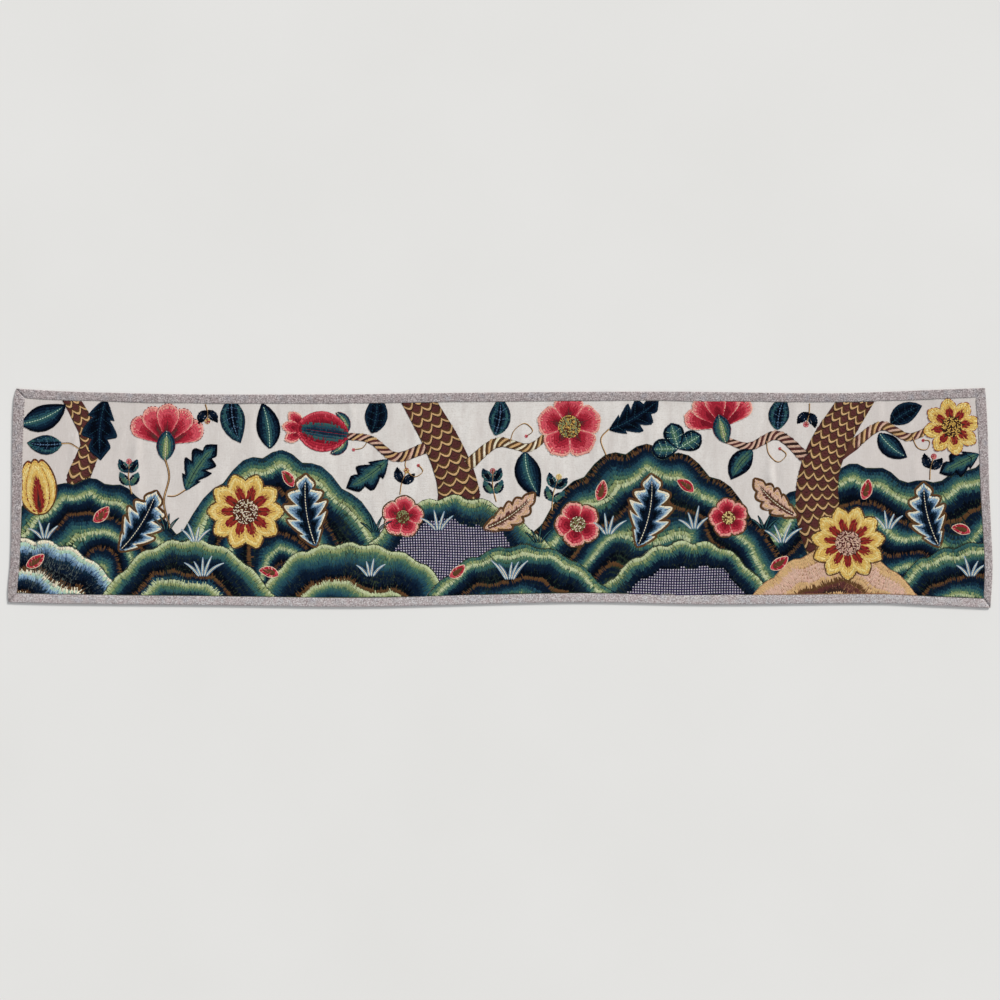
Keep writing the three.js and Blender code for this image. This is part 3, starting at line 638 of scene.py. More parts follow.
linen_finish, tree, shader = new_material("cream_linen", roughness=0.9, sheen=0.12)
place = stretched(tree, (1, 1, 1))
weave = woven(tree, place, LINEN_THREADS)
cloud = noise(tree, stretched(tree, (14, 5, 1)), 1.0, 4)
streak = noise(tree, stretched(tree, (60, 13, 1)), 1.0, 3)
fleck = noise(tree, place, 330, 2)
slub = noise(tree, stretched(tree, (45, 800, 1)), 1.0, 3)
upright_slub = noise(tree, stretched(tree, (800, 45, 1)), 1.0, 3)
parted = tree.nodes.new("ShaderNodeSeparateXYZ")
tree.links.new(place, parted.inputs[0])
from_middle = reckon(tree, "ABSOLUTE", parted.outputs[0], 0.0)
bleached = mix_colour(tree, ramp(tree, cloud, 0.35, 0.65), dye(224, 219, 215), dye(238, 235, 231))
# The bleached linen is pinker towards its ends, with streaks, flecks, slubs and darker gaps in the weave
tone = layered(tree, bleached, (
    (ramp(tree, from_middle, 0.3, 0.93, 0.0, 0.75), dye(206, 193, 190)),
    (ramp(tree, streak, 0.48, 0.72, 0.0, 0.85), dye(209, 201, 197)),
    (ramp(tree, fleck, 0.5, 0.68, 0.0, 0.5), dye(199, 191, 184)),
    (ramp(tree, slub, 0.5, 0.8), dye(208, 200, 193)),
    (ramp(tree, upright_slub, 0.55, 0.85), dye(240, 237, 233)),
    (ramp(tree, weave, 0.35, 0.0, 0.0, 0.6), dye(206, 199, 192)),
))
tree.links.new(tone, shader.inputs["Base Color"])
raise_grain(tree, shader, weave, distance=0.0002, strength=0.6)

columns, rows = int(LINEN_CUT[0] / COLUMN_PITCH), int(LINEN_CUT[1] / ROW_PITCH)
across, up = np.meshgrid(np.linspace(0, 1, columns), np.linspace(0, 1, rows))
linen_x, linen_y = np.zeros_like(across), np.zeros_like(across)
for _ in range(5):
    left, right = edges["left"](linen_y) + LINEN_INSET, edges["right"](linen_y) - LINEN_INSET
    linen_x = left + (right - left) * across
    low, high = edges["bottom"](linen_x) + LINEN_INSET, edges["top"](linen_x) - LINEN_INSET
    linen_y = low + (high - low) * up
face_height = ground(linen_x, linen_y)
sheet_points = [
    np.stack([linen_x, linen_y, height], -1).reshape(-1, 3)
    for height in (face_height, np.maximum(face_height - LINEN_THICKNESS, 0))
]
index = np.arange(linen_x.size).reshape(linen_x.shape)
a, b, c, d = index[:-1, :-1], index[:-1, 1:], index[1:, 1:], index[1:, :-1]
upper = np.stack([a, b, c, d], -1).reshape(-1, 4)
lower = np.stack([a, d, c, b], -1).reshape(-1, 4) + linen_x.size
rim = np.concatenate([index[0, :-1], index[:-1, -1], index[-1, :0:-1], index[:0:-1, 0]])
after = np.roll(rim, -1)
wall = np.stack([rim, rim + linen_x.size, after + linen_x.size, after], -1)
quads = np.concatenate([upper, lower, wall])
linen = new_piece("linen_ground", np.concatenate(sheet_points), quads.ravel(), [4] * len(quads), linen_finish)
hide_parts("linen")


# The hills: long-and-short stitch in two-ply crewel wool, worked in rows that follow each crest.
# The dyes step from navy through teal and green to a pale ridge and back, with a brown line between.
# Every stitch is a raised sliver over a thin padding, with its ends drawn down into the cloth.
STITCH_WIDTH = 1.5
PAD_TOP = 0.75
PAD_FOOT = 0.2
PAD_SPLIT = 0.7
SLIVER_SIDE = 0.65
SLIVER_RIDGE = 1.15
SLIVER_END = 0.4
SLIVER_SHOULDER = 0.16
UNEVEN_LIFT = 0.22
SHORTEST_STITCH = 1.2
OVER_WORK = 0.35
ON_BARE_LINEN = -0.5
STRAND_PITCH = 1.38
STRAND_PLACE = (0.36, 0.64)
FIRST_ROW = 0.4
HILL_ROW = 5.7
HILL_STITCH = 9.4
HILL_STITCH_SHARE = (0.8, 1.15)
HILL_STRAND = 1.85
HILL_SLIP = 1.6
HILL_LEAN = 0.08
HILL_RAGGED = 0.9
# How much darker than the mean of its wool a hill's padding is dyed: painted shade where it shows between the
# stitches
HILL_PAD_SHADE = 1.5
FIELD_CELL = 3.0
FIELD_FOOT = -190
TWIST = 2.4
PLY_LEAN = 1.2
PLY_START = 9

BLACK_NAVY, NAVY, TEAL_NAVY = dye(6, 11, 21), dye(12, 25, 43), dye(20, 42, 60)
TEAL, SEA_GREEN, LEAF_GREEN = dye(36, 71, 86), dye(52, 91, 92), dye(79, 112, 90)
LIME, PALE_GREEN = dye(144, 156, 108), dye(188, 197, 156)
BARK, DARK_BARK, MAROON = dye(94, 66, 42), dye(58, 40, 36), dye(92, 52, 50)
TAN, PINK_TAN, CREAM = dye(209, 172, 124), dye(212, 176, 156), dye(234, 224, 198)
BLUE_GREY, PALE_BLUE, SEAFOAM = dye(92, 120, 150), dye(154, 184, 202), dye(176, 204, 182)

ROLLING = [
    NAVY, NAVY, TEAL_NAVY, TEAL, SEA_GREEN, LEAF_GREEN, LIME, PALE_GREEN, LEAF_GREEN, SEA_GREEN, TEAL_NAVY,
    NAVY, NAVY, BLACK_NAVY, BLACK_NAVY, BARK,
]
CLIFF = [
    PALE_GREEN, LIME, LEAF_GREEN, SEA_GREEN, TEAL_NAVY, NAVY, NAVY, BLACK_NAVY, BLACK_NAVY, BARK, NAVY, TEAL,
]
SKYLIT = [CREAM, SEAFOAM, PALE_BLUE, BLUE_GREY, TEAL_NAVY, NAVY, NAVY, BLACK_NAVY, BLACK_NAVY, BARK]
MOSSY = [PALE_GREEN, LIME, LEAF_GREEN, SEA_GREEN, TEAL, TEAL_NAVY, NAVY, NAVY, BLACK_NAVY, BARK]
SANDY = [TAN, TAN, PINK_TAN, PINK_TAN, PINK_TAN, TAN, BARK, MAROON, DARK_BARK]
# Each hill's dyes from its crest down, the breadth of each band and the dye it starts with
HILL_DYES = {
    "hill_far_left": (ROLLING, 4.4, 0), "hill_far_right": (ROLLING, 5.0, 1),
    "hill_high_left": (ROLLING, 4.8, 2), "hill_high_right": (ROLLING, 5.2, 14),
    "hill_middle": (MOSSY, 5.2, 0), "mound_1": (SKYLIT, 5.6, 0), "mound_2": (CLIFF, 5.8, 0),
    "mound_3": (MOSSY, 7.0, 0), "mound_4": (ROLLING, 4.8, 4), "mound_5": (CLIFF, 5.4, 0),
    "mound_6": (SANDY, 8.5, 0), "mound_7": (ROLLING, 5.0, 4),
}
# Hills whose heart is left open below this depth, for a trellis filling
TRELLIS_DEPTH = {"hill_middle": 36, "mound_5": 36}

chance = np.random.default_rng(7)

wool_finish, tree, shader = new_material("crewel_wool", roughness=0.95)
shader.inputs["Specular IOR Level"].default_value = 0.02
colour = tree.nodes.new("ShaderNodeAttribute")
colour.attribute_name = "wool"
ply = tree.nodes.new("ShaderNodeAttribute")
ply.attribute_name = "ply"
parted = tree.nodes.new("ShaderNodeSeparateXYZ")
tree.links.new(ply.outputs["Vector"], parted.inputs[0])
turns = reckon(tree, "MULTIPLY", parted.outputs[0], TWIST)
turns = reckon(tree, "ADD", turns, parted.outputs[1])
twist = reckon(tree, "SINE", turns, 0.0)
fibre = noise(tree, stretched(tree, (1, 1, 1)), 1100, 3)
# The wool's colour is darkened in the grooves of its twist, as painted shade, and varied by random fibre tone
relief = reckon(tree, "ADD", ramp(tree, twist, -1, 1, 0.0, 0.6), fibre)
light = ramp(tree, relief, 0.3, 1.3, 0.74, 1.16)
tint = tree.nodes.new("ShaderNodeVectorMath")
tint.operation = "SCALE"
tree.links.new(colour.outputs["Color"], tint.inputs[0])
tree.links.new(light, tint.inputs["Scale"])
tree.links.new(tint.outputs[0], shader.inputs["Base Color"])
raise_grain(tree, shader, relief, distance=0.0003, strength=0.6)


class Basket:
    """The stitches of one piece, gathered before its mesh is made."""

    def __init__(self):
        self.laid = []

    def lay(
        self, starts, ends, colours, width=STITCH_WIDTH, lift=0.0, own=None, loose=False, clear_of=()
    ):
        """Lays straight stitches. own cuts them back to that part of the tracing; loose ones lie on
        whatever is there, bare linen or finished work, but not on the parts that they are clear of."""
        starts, ends = np.atleast_2d(starts).astype(float), np.atleast_2d(ends).astype(float)
        count = len(starts)
        colours = np.broadcast_to(np.asarray(colours, float), (count, 3))
        widths = np.broadcast_to(np.asarray(width, float), count)
        lifts = np.broadcast_to(np.asarray(lift, float), count)
        keep = np.ones(count, bool)
        if loose:
            middle = (starts + ends) / 2
            under = traced(middle[:, 0], middle[:, 1])
            lifts = lifts + np.where(under > BARE, OVER_WORK, ON_BARE_LINEN)
            tips = np.minimum(traced(starts[:, 0], starts[:, 1]), traced(ends[:, 0], ends[:, 1]))
            keep = (under != BOUND) & (tips != BOUND) & ~np.isin(under, clear_of)
        elif own is not None:
            # Each stitch is tried at seven spots, and kept from its middle as far as it lies on its part
            shares = np.linspace(0, 1, 7)
            spots = starts[:, None] + (ends - starts)[:, None] * shares[None, :, None]
            held = traced(spots[..., 0], spots[..., 1]) == own
            keep = held[:, 3]
            first = shares[np.clip(4 - np.cumprod(held[:, 3::-1], axis=1).sum(1), 0, 3)]
            last = shares[np.clip(2 + np.cumprod(held[:, 3:], axis=1).sum(1), 3, 6)]
            run = ends - starts
            starts, ends = starts + run * first[:, None], starts + run * last[:, None]
            keep &= np.linalg.norm(ends - starts, axis=1) > SHORTEST_STITCH
        self.laid.append([part[keep] for part in (starts, ends, colours, widths, lifts)])

    def slivers(self):
        """Points, loops, sizes, colours and ply of all the stitches: eight points each."""
        starts, ends, colours, widths, lifts = (np.concatenate(part) for part in zip(*self.laid))
        count = len(starts)
        run = ends - starts
        length = np.linalg.norm(run, axis=1)
        aside = leftward(run) / np.maximum(length, 1e-6)[:, None] * widths[:, None] / 2
        lifts = lifts + chance.uniform(0, UNEVEN_LIFT, count)
        shares = np.array([0, *[SLIVER_SHOULDER] * 3, *[1 - SLIVER_SHOULDER] * 3, 1])[:, None]
        sides = np.array([0, 1, 0, -1, 1, 0, -1, 0])[:, None]
        rim, ridge = SLIVER_SIDE, SLIVER_RIDGE
        heights = np.array([SLIVER_END, rim, ridge, rim, rim, ridge, rim, SLIVER_END])
        points = np.zeros((count, 8, 3))
        points[..., :2] = starts[:, None] + run[:, None] * shares + aside[:, None] * sides
        points[..., 2] = heights + lifts[:, None] + ground(points[..., 0], points[..., 1])
        faces = [(0, 2, 1), (0, 3, 2), (4, 5, 7), (5, 6, 7), (1, 2, 5, 4), (2, 3, 6, 5)]
        first = np.arange(count)[:, None] * 8
        loops = np.concatenate([np.array(face)[None] + first for face in faces], axis=1).ravel()
        sizes = np.tile([len(face) for face in faces], count)
        plies = np.zeros((count, 8, 3))
        plies[..., 0] = shares[:, 0] * length[:, None] + chance.uniform(0, PLY_START, (count, 1))
        plies[..., 1] = sides[:, 0] * PLY_LEAN
        return points.reshape(-1, 3), loops, sizes, np.repeat(colours, 8, axis=0), plies.reshape(-1, 3)


def padding(node, tone):
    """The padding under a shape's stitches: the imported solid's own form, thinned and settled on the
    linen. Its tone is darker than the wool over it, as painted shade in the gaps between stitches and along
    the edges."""
    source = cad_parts[node].data
    points = np.zeros(len(source.vertices) * 3)
    source.vertices.foreach_get("co", points)
    points = points.reshape(-1, 3) / MM - (MIDDLE_SHIFT, 0, 0)
    height = ground(points[:, 0], points[:, 1])
    upper = points[:, 2] > height + PAD_SPLIT
    points[:, 2] = height + np.where(upper, PAD_TOP, PAD_FOOT)
    loops = np.zeros(len(source.loops), np.int32)
    source.loops.foreach_get("vertex_index", loops)
    sizes = np.zeros(len(source.polygons), np.int32)
    source.polygons.foreach_get("loop_total", sizes)
    return points, loops, sizes, np.tile(tone, (len(points), 1)), np.zeros((len(points), 3))


def work_piece(name, basket, nodes=(), tone=None):
    """Makes one worked piece from its padding and the stitches over it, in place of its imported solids.
    The stitches come last, so that they also lie over the padding on the plan map."""
    parts = [padding(node, tone) for node in nodes] + [basket.slivers()]
    offsets = np.cumsum([0] + [len(part[0]) for part in parts[:-1]])
    points, sizes, colours, plies = (np.concatenate([part[k] for part in parts]) for k in (0, 2, 3, 4))
    loops = np.concatenate([part[1] + offset for part, offset in zip(parts, offsets)])
    piece = new_piece(f"worked_{name}", points, loops, sizes, wool_finish)
    wool = piece.data.attributes.new("wool", "FLOAT_COLOR", "POINT")
    wool.data.foreach_set("color", np.c_[colours, np.ones(len(colours))].astype(np.float32).ravel())
    strands = piece.data.attributes.new("ply", "FLOAT_VECTOR", "POINT")
    strands.data.foreach_set("vector", plies.astype(np.float32).ravel())
    plan = piece.data.uv_layers.new(name="OFBake")
    low, high = points[:, :2].min(0), points[:, :2].max(0)
    plan.uv.foreach_set("vector", ((points[loops, :2] - low) / (high - low)).astype(np.float32).ravel())
    if nodes:
        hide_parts(*nodes)
    return piece


def nodes_of(name):
    return [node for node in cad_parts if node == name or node.startswith(f"{name}_part_")]


def vary(colours, amount=0.07):
    """Small differences between strands of one dye."""
    colours = np.atleast_2d(colours)
    light = 1 + chance.normal(0, amount, (len(colours), 1))
    return np.clip(colours * light * (1 + chance.normal(0, amount / 3, colours.shape)), 0, 1)


def crest_field(crest):
    """Distance below a crest on a square grid, wavering a little, as rows worked by hand do."""
    x = np.arange(crest[0, 0], crest[-1, 0] + FIELD_CELL, FIELD_CELL)
    y = np.arange(FIELD_FOOT, crest[:, 1].max() + 2 * FIELD_CELL, FIELD_CELL)
    grid_x, grid_y = np.meshgrid(x, y)
    nearest = np.full(grid_x.shape, np.inf)
    for point_x, point_y in crest[::2]:
        nearest = np.minimum(nearest, (grid_x - point_x) ** 2 + (grid_y - point_y) ** 2)
    depth = np.sqrt(nearest) * np.where(grid_y > np.interp(grid_x, crest[:, 0], crest[:, 1]), -1, 1)
    waver = 1 + 0.14 * np.sin(grid_x / 47 + grid_y / 61) + 0.08 * np.sin(grid_x / 19 - grid_y / 33)
    return grid_x, grid_y, depth * waver


def field_at(grid_x, grid_y, field, spots):
    """A field's value at each spot."""
    column, row = (spots - (grid_x[0, 0], grid_y[0, 0])).T / FIELD_CELL
    return between_knots(field, column, row)


def level_spots(grid_x, grid_y, depth, level):
    """Points about a strand apart along one level of a field."""
    corners = [(slice(None, -1), slice(None, -1)), (slice(None, -1), slice(1, None)),
               (slice(1, None), slice(1, None)), (slice(1, None), slice(None, -1))]
    values, xs, ys = ([field[corner] for corner in corners] for field in (depth - level, grid_x, grid_y))
    crossings = []
    for k in range(4):
        n = (k + 1) % 4
        cut = (values[k] < 0) != (values[n] < 0)
        share = np.where(cut, values[k] / np.where(cut, values[k] - values[n], 1), 0)
        crossings.append((cut, xs[k] + (xs[n] - xs[k]) * share, ys[k] + (ys[n] - ys[k]) * share))
    segments = []
    crossed = sum(cut.astype(int) for cut, _, _ in crossings) == 2
    for first in range(4):
        for second in range(first + 1, 4):
            both = crossings[first][0] & crossings[second][0] & crossed
            ends = [crossings[k][axis][both] for k in (first, second) for axis in (1, 2)]
            segments.append(np.stack(ends, 1))
    segments = np.concatenate(segments)
    run = segments[:, 2:] - segments[:, :2]
    strands = np.linalg.norm(run, axis=1) / STRAND_PITCH
    strands = np.floor(strands + chance.uniform(0, 1, len(strands))).astype(int)
    which = np.repeat(np.arange(len(segments)), strands)
    rank = np.arange(len(which)) - np.repeat(np.cumsum(strands) - strands, strands)
    share = (rank + chance.uniform(*STRAND_PLACE, len(rank))) / strands[which]
    return segments[which, :2] + run[which] * share[:, None]


for name in [*FAR_HILLS, *NEAR_HILLS]:
    dyes, band, start = HILL_DYES[name]
    dyes = np.array(dyes)
    field = crest_field(shapes[name][0][1])
    slopes = np.gradient(field[2], FIELD_CELL)
    deepest = min(TRELLIS_DEPTH.get(name, np.inf), field[2].max())
    basket = Basket()
    for level in np.arange(FIRST_ROW, deepest, HILL_ROW):
        spots = level_spots(*field, level)
        count = len(spots)
        if not count:
            continue
        down = np.stack([field_at(*field[:2], slope, spots) for slope in slopes[::-1]], 1)
        down /= np.maximum(np.linalg.norm(down, axis=1, keepdims=True), 1e-6)
        down = down + chance.normal(0, HILL_LEAN, (count, 1)) * leftward(down)
        slip = chance.uniform(-HILL_SLIP, FIRST_ROW if level == FIRST_ROW else HILL_SLIP, (count, 1))
        starts = spots + down * slip
        ends = starts + down * HILL_STITCH * chance.uniform(*HILL_STITCH_SHARE, (count, 1))
        deep = field_at(*field, (starts + ends) / 2) + chance.normal(0, HILL_RAGGED, count)
        shade = (np.clip(deep / band, 0, None).astype(int) + start) % len(dyes)
        basket.lay(starts, ends, vary(dyes[shade]), width=HILL_STRAND, own=part_numbers[name, 0])
    # The padding takes the mean of the hill's wool, darkened as painted shade between the stitches
    work_piece(name, basket, nodes_of(name), dyes.mean(0) ** HILL_PAD_SHADE)


# The trellis fillings: inside two hills, a net of dark laid threads with a pale block of two short
# stitches in every mesh, like a woven check, over a dark ground.
TRELLIS_PITCH = 5.0
TRELLIS_SWAY = 1.2
TRELLIS_MARGIN = 4
LAID_OVERLAP = 0.6
BLOCK_HALF = (0.65, 1.6)
PLUM = dye(52, 42, 82)
LAVENDER = dye(198, 190, 204)

for name, depth_from in TRELLIS_DEPTH.items():
    field = crest_field(shapes[name][0][1])
    columns = np.arange(field[0].min(), field[0].max(), TRELLIS_PITCH)
    lines = np.arange(-186, field[1].max(), TRELLIS_PITCH)
    mesh_x, mesh_y = (part.ravel() for part in np.meshgrid(columns, lines))
    swayed_x = mesh_x + TRELLIS_SWAY * np.sin(mesh_y / 23)
    spots = np.stack([swayed_x, mesh_y + TRELLIS_SWAY * np.sin(mesh_x / 31)], 1)
    spots = spots[field_at(*field, spots) > depth_from + TRELLIS_MARGIN]
    basket = Basket()
    own = part_numbers[name, 0]
    half = TRELLIS_PITCH / 2
    level, upright = np.array([half + LAID_OVERLAP, 0]), np.array([0, half + LAID_OVERLAP])
    below, beside = spots - (0, half), spots - (half, 0)
    plum, navy = (vary(np.tile(dyed, (len(spots), 1))) for dyed in (PLUM, NAVY))
    basket.lay(below - level, below + level, plum, width=2.0, lift=0.2, own=own)
    basket.lay(beside - upright, beside + upright, navy, width=1.8, lift=0.3, own=own)
    for shift in (-BLOCK_HALF[0], BLOCK_HALF[0]):
        low, high = spots + (shift, -BLOCK_HALF[1]), spots + (shift, BLOCK_HALF[1])
        pale = vary(np.tile(LAVENDER, (len(spots), 1)), 0.1)
        basket.lay(low, high, pale, width=1.4, lift=0.1, own=own)
    work_piece(f"trellis_{name}", basket)


# The trunks: satin stitch laid up the wood in overlapping scales, each with a dark rim, a tan lip
# and a brown body, darker towards the sides so that the trunk looks round.
SCALE_LENGTH = 19.0
SCALE_WIDTH = 27.0
SCALE_ROUND = 10.0
SCALE_ZONES = [(0, 2.8, DARK_BARK), (2.2, 7.6, TAN), (7.0, 11.5, BARK)]
BODY_FROM = 10.5
BODY_ROWS = 3
BODY_ROW = 6.2
BODY_STITCH = 7.5
BODY_RAGGED = 1.5
STRAND_RAGGED = 0.3
TRUNK_SHADE = 0.3
# The padding under the wood is darker than its wool: painted shade between the stitches
SHADED_WOOD_PAD = np.array(DARK_BARK) * 0.8


def along_strand(sides, offset):
    """The spot at any distance up a stem, on the strand at that offset from -1 to 1."""
    line, right, left = sides
    travel = distance_along(line)
    strand = right + (left - right) * (offset + 1) / 2

    def spot(distance):
        return spots_on(strand, travel, distance)

    return spot, travel[-1]


def strand_offsets(sides):
    """Offsets from -1 to 1 for strands side by side across a stem, and the stem's greatest width."""
    widest = np.linalg.norm(sides[2] - sides[1], axis=1).max()
    return np.linspace(-1, 1, int(widest / STRAND_PITCH) + 1), widest


for name in ("trunk_left", "trunk_middle", "trunk_right"):
    sides = shapes[name][0][1]
    own = part_numbers[name, 0]
    basket = Basket()
    offsets, widest = strand_offsets(sides)
    lobes = round(widest / SCALE_WIDTH)
    for offset in offsets:
        spot, length = along_strand(sides, offset)
        rows = np.arange(-1, int(length / SCALE_LENGTH) + 2)
        rounds = np.abs(np.cos(math.pi * (lobes * (offset + 1) / 2 + 0.5 * (rows % 2))))
        rims = SCALE_LENGTH * rows + SCALE_ROUND * (1 - rounds)
        shade = 1 - TRUNK_SHADE * abs(offset) ** 3
        count = len(rows) - 1
        body = [BODY_FROM + k * BODY_ROW for k in range(BODY_ROWS)]
        for low, high, dyed in SCALE_ZONES + [(low, low + BODY_STITCH, MAROON) for low in body]:
            ragged = BODY_RAGGED if dyed == MAROON else STRAND_RAGGED
            first = rims[:-1] + low + chance.uniform(-ragged, ragged, count)
            last = rims[:-1] + high + chance.uniform(-STRAND_RAGGED, STRAND_RAGGED, count)
            last = np.minimum(last, rims[1:] + 0.4)
            some = last > first + 1
            tones = vary(np.tile(np.array(dyed) * shade, (some.sum(), 1)))
            basket.lay(spot(first[some]), spot(last[some]), tones, own=own)
    work_piece(name, basket, nodes_of(name), SHADED_WOOD_PAD)


# The boughs: narrow stems in slanting bands of tan and brown, like a twisted cord,
# worked with short satin stitches along the wood.
TWIST_BAND = 6.5
TWIST_SLANT = 9.0
TWIST_OVERLAP = 0.8
BOUGH_SHADE = 0.25
# The far right bough's root stands clear of its trunk, so brown stitches fill the crook between them:
# down the trunk's edge, and across the root to its under side
CROOK = [((666, 107), (649, 70)), ((672, 105), (688, 99))]
CROOK_STRANDS = 20
CROOK_STRAND = 2.4
BOUGH_DYES = {
    "bough_left": [PINK_TAN, MAROON, TAN, DARK_BARK], "bough_right": [PINK_TAN, DARK_BARK, PINK_TAN, MAROON],
    "bough_middle": [TAN, BARK, CREAM, BARK], "bough_far_right": [TAN, MAROON, PINK_TAN, BARK],
}
for name, dyes in BOUGH_DYES.items():
    sides = shapes[name][0][1]
    basket = Basket()
    for offset in strand_offsets(sides)[0]:
        spot, length = along_strand(sides, offset)
        bands = np.arange(-2, int(length / TWIST_BAND) + 2)
        ragged = chance.uniform(-STRAND_RAGGED, STRAND_RAGGED, len(bands))
        first = bands * TWIST_BAND + TWIST_SLANT * offset + ragged
        tones = np.array(dyes)[bands % len(dyes)] * (1 - BOUGH_SHADE * abs(offset) ** 3)
        low, high = np.clip(first, 0, length), np.clip(first + TWIST_BAND + TWIST_OVERLAP, 0, length)
        some = high > low + 1
        basket.lay(spot(low[some]), spot(high[some]), vary(tones[some]), own=part_numbers[name, 0])
    if name == "bough_far_right":
        share = np.linspace(0, 1, CROOK_STRANDS)[:, None]
        by_trunk, by_bough = (start + share * (np.subtract(end, start)) for start, end in CROOK)
        crook_dyes = np.array([MAROON, MAROON, BARK])[np.arange(CROOK_STRANDS) % 3]
        basket.lay(by_trunk, by_bough, vary(crook_dyes), width=CROOK_STRAND, lift=0.2, loose=True)
    work_piece(name, basket, nodes_of(name), SHADED_WOOD_PAD)


# The leaves: slanting satin stitch from the midrib out to the edge, darkest at the rim and greener
# within, with a midrib and veins of pale stem stitch on top.
LEAF_DYES = [
    ([SEA_GREEN, TEAL, TEAL_NAVY, NAVY, BLACK_NAVY], SEAFOAM),
    ([NAVY, BLACK_NAVY, BLACK_NAVY, NAVY, TEAL_NAVY], TEAL),
    ([LEAF_GREEN, SEA_GREEN, TEAL, NAVY, BLACK_NAVY], TEAL_NAVY),
    ([BLACK_NAVY, NAVY, TEAL, SEA_GREEN, TEAL_NAVY], BLUE_GREY),
]
LEAF_VEINS = (0, 4, 0, 3)
LEAF_ROOT = 0.82
MIDRIB = slice(2, -6)
VEIN_REACH = 0.78
SATIN_STITCH = 5.4
SATIN_START, SATIN_END, SATIN_RIM = (-0.28, 0.1), (-0.05, 0.22), (-0.4, 1.0)
STITCH_SLANT = 0.3


def spread(basket, sides, own, dyes, root, lift=0.0, loose=False):
    """Satin stitches from the midrib to both edges; root is where on the midrib each one starts,
    as a share of where it ends on the edge."""
    mid, right, left = sides
    for edge in (right, left):
        travel = distance_along(edge)
        places = np.arange(0, travel[-1], STRAND_PITCH)
        places = places + chance.uniform(-STRAND_RAGGED, STRAND_RAGGED, len(places))
        steps = np.linspace(0, 1, len(edge))
        t = np.interp(places, travel, steps)
        rim, base = spots_on(edge, steps, t), spots_on(mid, steps, t * root)
        reach = np.linalg.norm(rim - base, axis=1)
        counts = np.maximum(1, np.round(reach / SATIN_STITCH)).astype(int)
        for rows in np.unique(counts):
            chosen = counts == rows
            n = chosen.sum()
            span = (rim - base)[chosen]
            for row in range(rows):
                low = np.full(n, -0.3 if loose else 0)
                if row:
                    low = (row + chance.uniform(*SATIN_START, n)) / rows
                high = (row + 1 + chance.uniform(*SATIN_END, n)) / rows
                if row == rows - 1:
                    high = 1 + chance.uniform(*SATIN_RIM, n) / np.maximum(reach[chosen], 1)
                share = np.clip((low + high) / 2 + chance.normal(0, 0.05, n), 0, 0.999)
                tones = np.array(dyes)[(share * len(dyes)).astype(int)]
                starts, ends = base[chosen] + span * low[:, None], base[chosen] + span * high[:, None]
                basket.lay(starts, ends, vary(tones), lift=lift, own=own, loose=loose)


def stem_stitch(
    basket, line, dyed, width=1.5, stitch=6.0, lift=0.25, own=None, loose=False, step=0.62, clear_of=()
):
    """A line of slightly slanting stitches, each starting beside the one before."""
    line = np.asarray(line, float)
    travel = distance_along(line)
    first = np.arange(0, max(travel[-1] - 1, 1), stitch * step)
    starts = spots_on(line, travel, first)
    ends = spots_on(line, travel, np.minimum(first + stitch, travel[-1]))
    run = ends - starts
    length = np.maximum(np.linalg.norm(run, axis=1, keepdims=True), 1e-6)
    aside = STITCH_SLANT * leftward(run) / length
    tones = vary(np.tile(dyed, (len(starts), 1)))
    basket.lay(starts - aside, ends + aside, tones, width, lift, own, loose, clear_of)


def work_veins(basket, sides, count, reach, dyed, **ways):
    """Pairs of veins in stem stitch, that far from the midrib towards the two edges."""
    mid, right, left = sides
    for k in range(count):
        t = PART_STEPS * (k + 1) / (count + 1)
        for edge in (right, left):
            base = mid[int(t * LEAF_ROOT)]
            tip = base + (edge[int(t)] - base) * reach
            stem_stitch(basket, [base, tip], dyed, **ways)


def work_leaf(basket, sides, own, dyes, vein, veins):
    spread(basket, sides, own, dyes, LEAF_ROOT)
    stem_stitch(basket, sides[0][MIDRIB], vein, width=1.6, stitch=4.4, own=own, step=1.2)
    work_veins(basket, sides, veins, VEIN_REACH, vein, width=1.1, stitch=3.6, own=own, step=1.3)


for k, name in enumerate(LEAVES):
    basket = Basket()
    dyes, vein = LEAF_DYES[k % len(LEAF_DYES)]
    veins = LEAF_VEINS[k % len(LEAF_VEINS)]
    work_leaf(basket, shapes[name][0][1], part_numbers[name, 0], dyes, vein, veins)
    # The padding under a leaf is the darkest navy: painted shade between the stitches
    work_piece(name, basket, nodes_of(name), BLACK_NAVY)


# The ferns and fronds on the hills: deep-cut leaves shaded from a navy heart to a cream rim, or from
# brown to pink-tan, with a dashed midrib. Rows of brown stem stitch part each from the hill.
FERN_DYES = [NAVY, BLACK_NAVY, TEAL_NAVY, BLUE_GREY, PALE_BLUE, CREAM]
FROND_DYES = [BARK, MAROON, PINK_TAN, PINK_TAN, TAN, PINK_TAN]
FERN_VEINS = 4
FERN_VEIN_REACH = 0.6
HALO_ROWS = (1.0, 2.3, 3.6)


def halo(basket, outline, dyed, rows=HALO_ROWS, clear_of=()):
    """Rows of stem stitch just outside an outline."""
    ahead = np.roll(outline, -1, axis=0) - np.roll(outline, 1, axis=0)
    outward = -leftward(ahead)
    outward /= np.maximum(np.linalg.norm(outward, axis=1, keepdims=True), 1e-6)
    for row in rows:
        line = outline + outward * row
        line = np.vstack([line, line[:1]])
        stem_stitch(basket, line, dyed, width=1.6, stitch=5, lift=-0.1, loose=True, clear_of=clear_of)


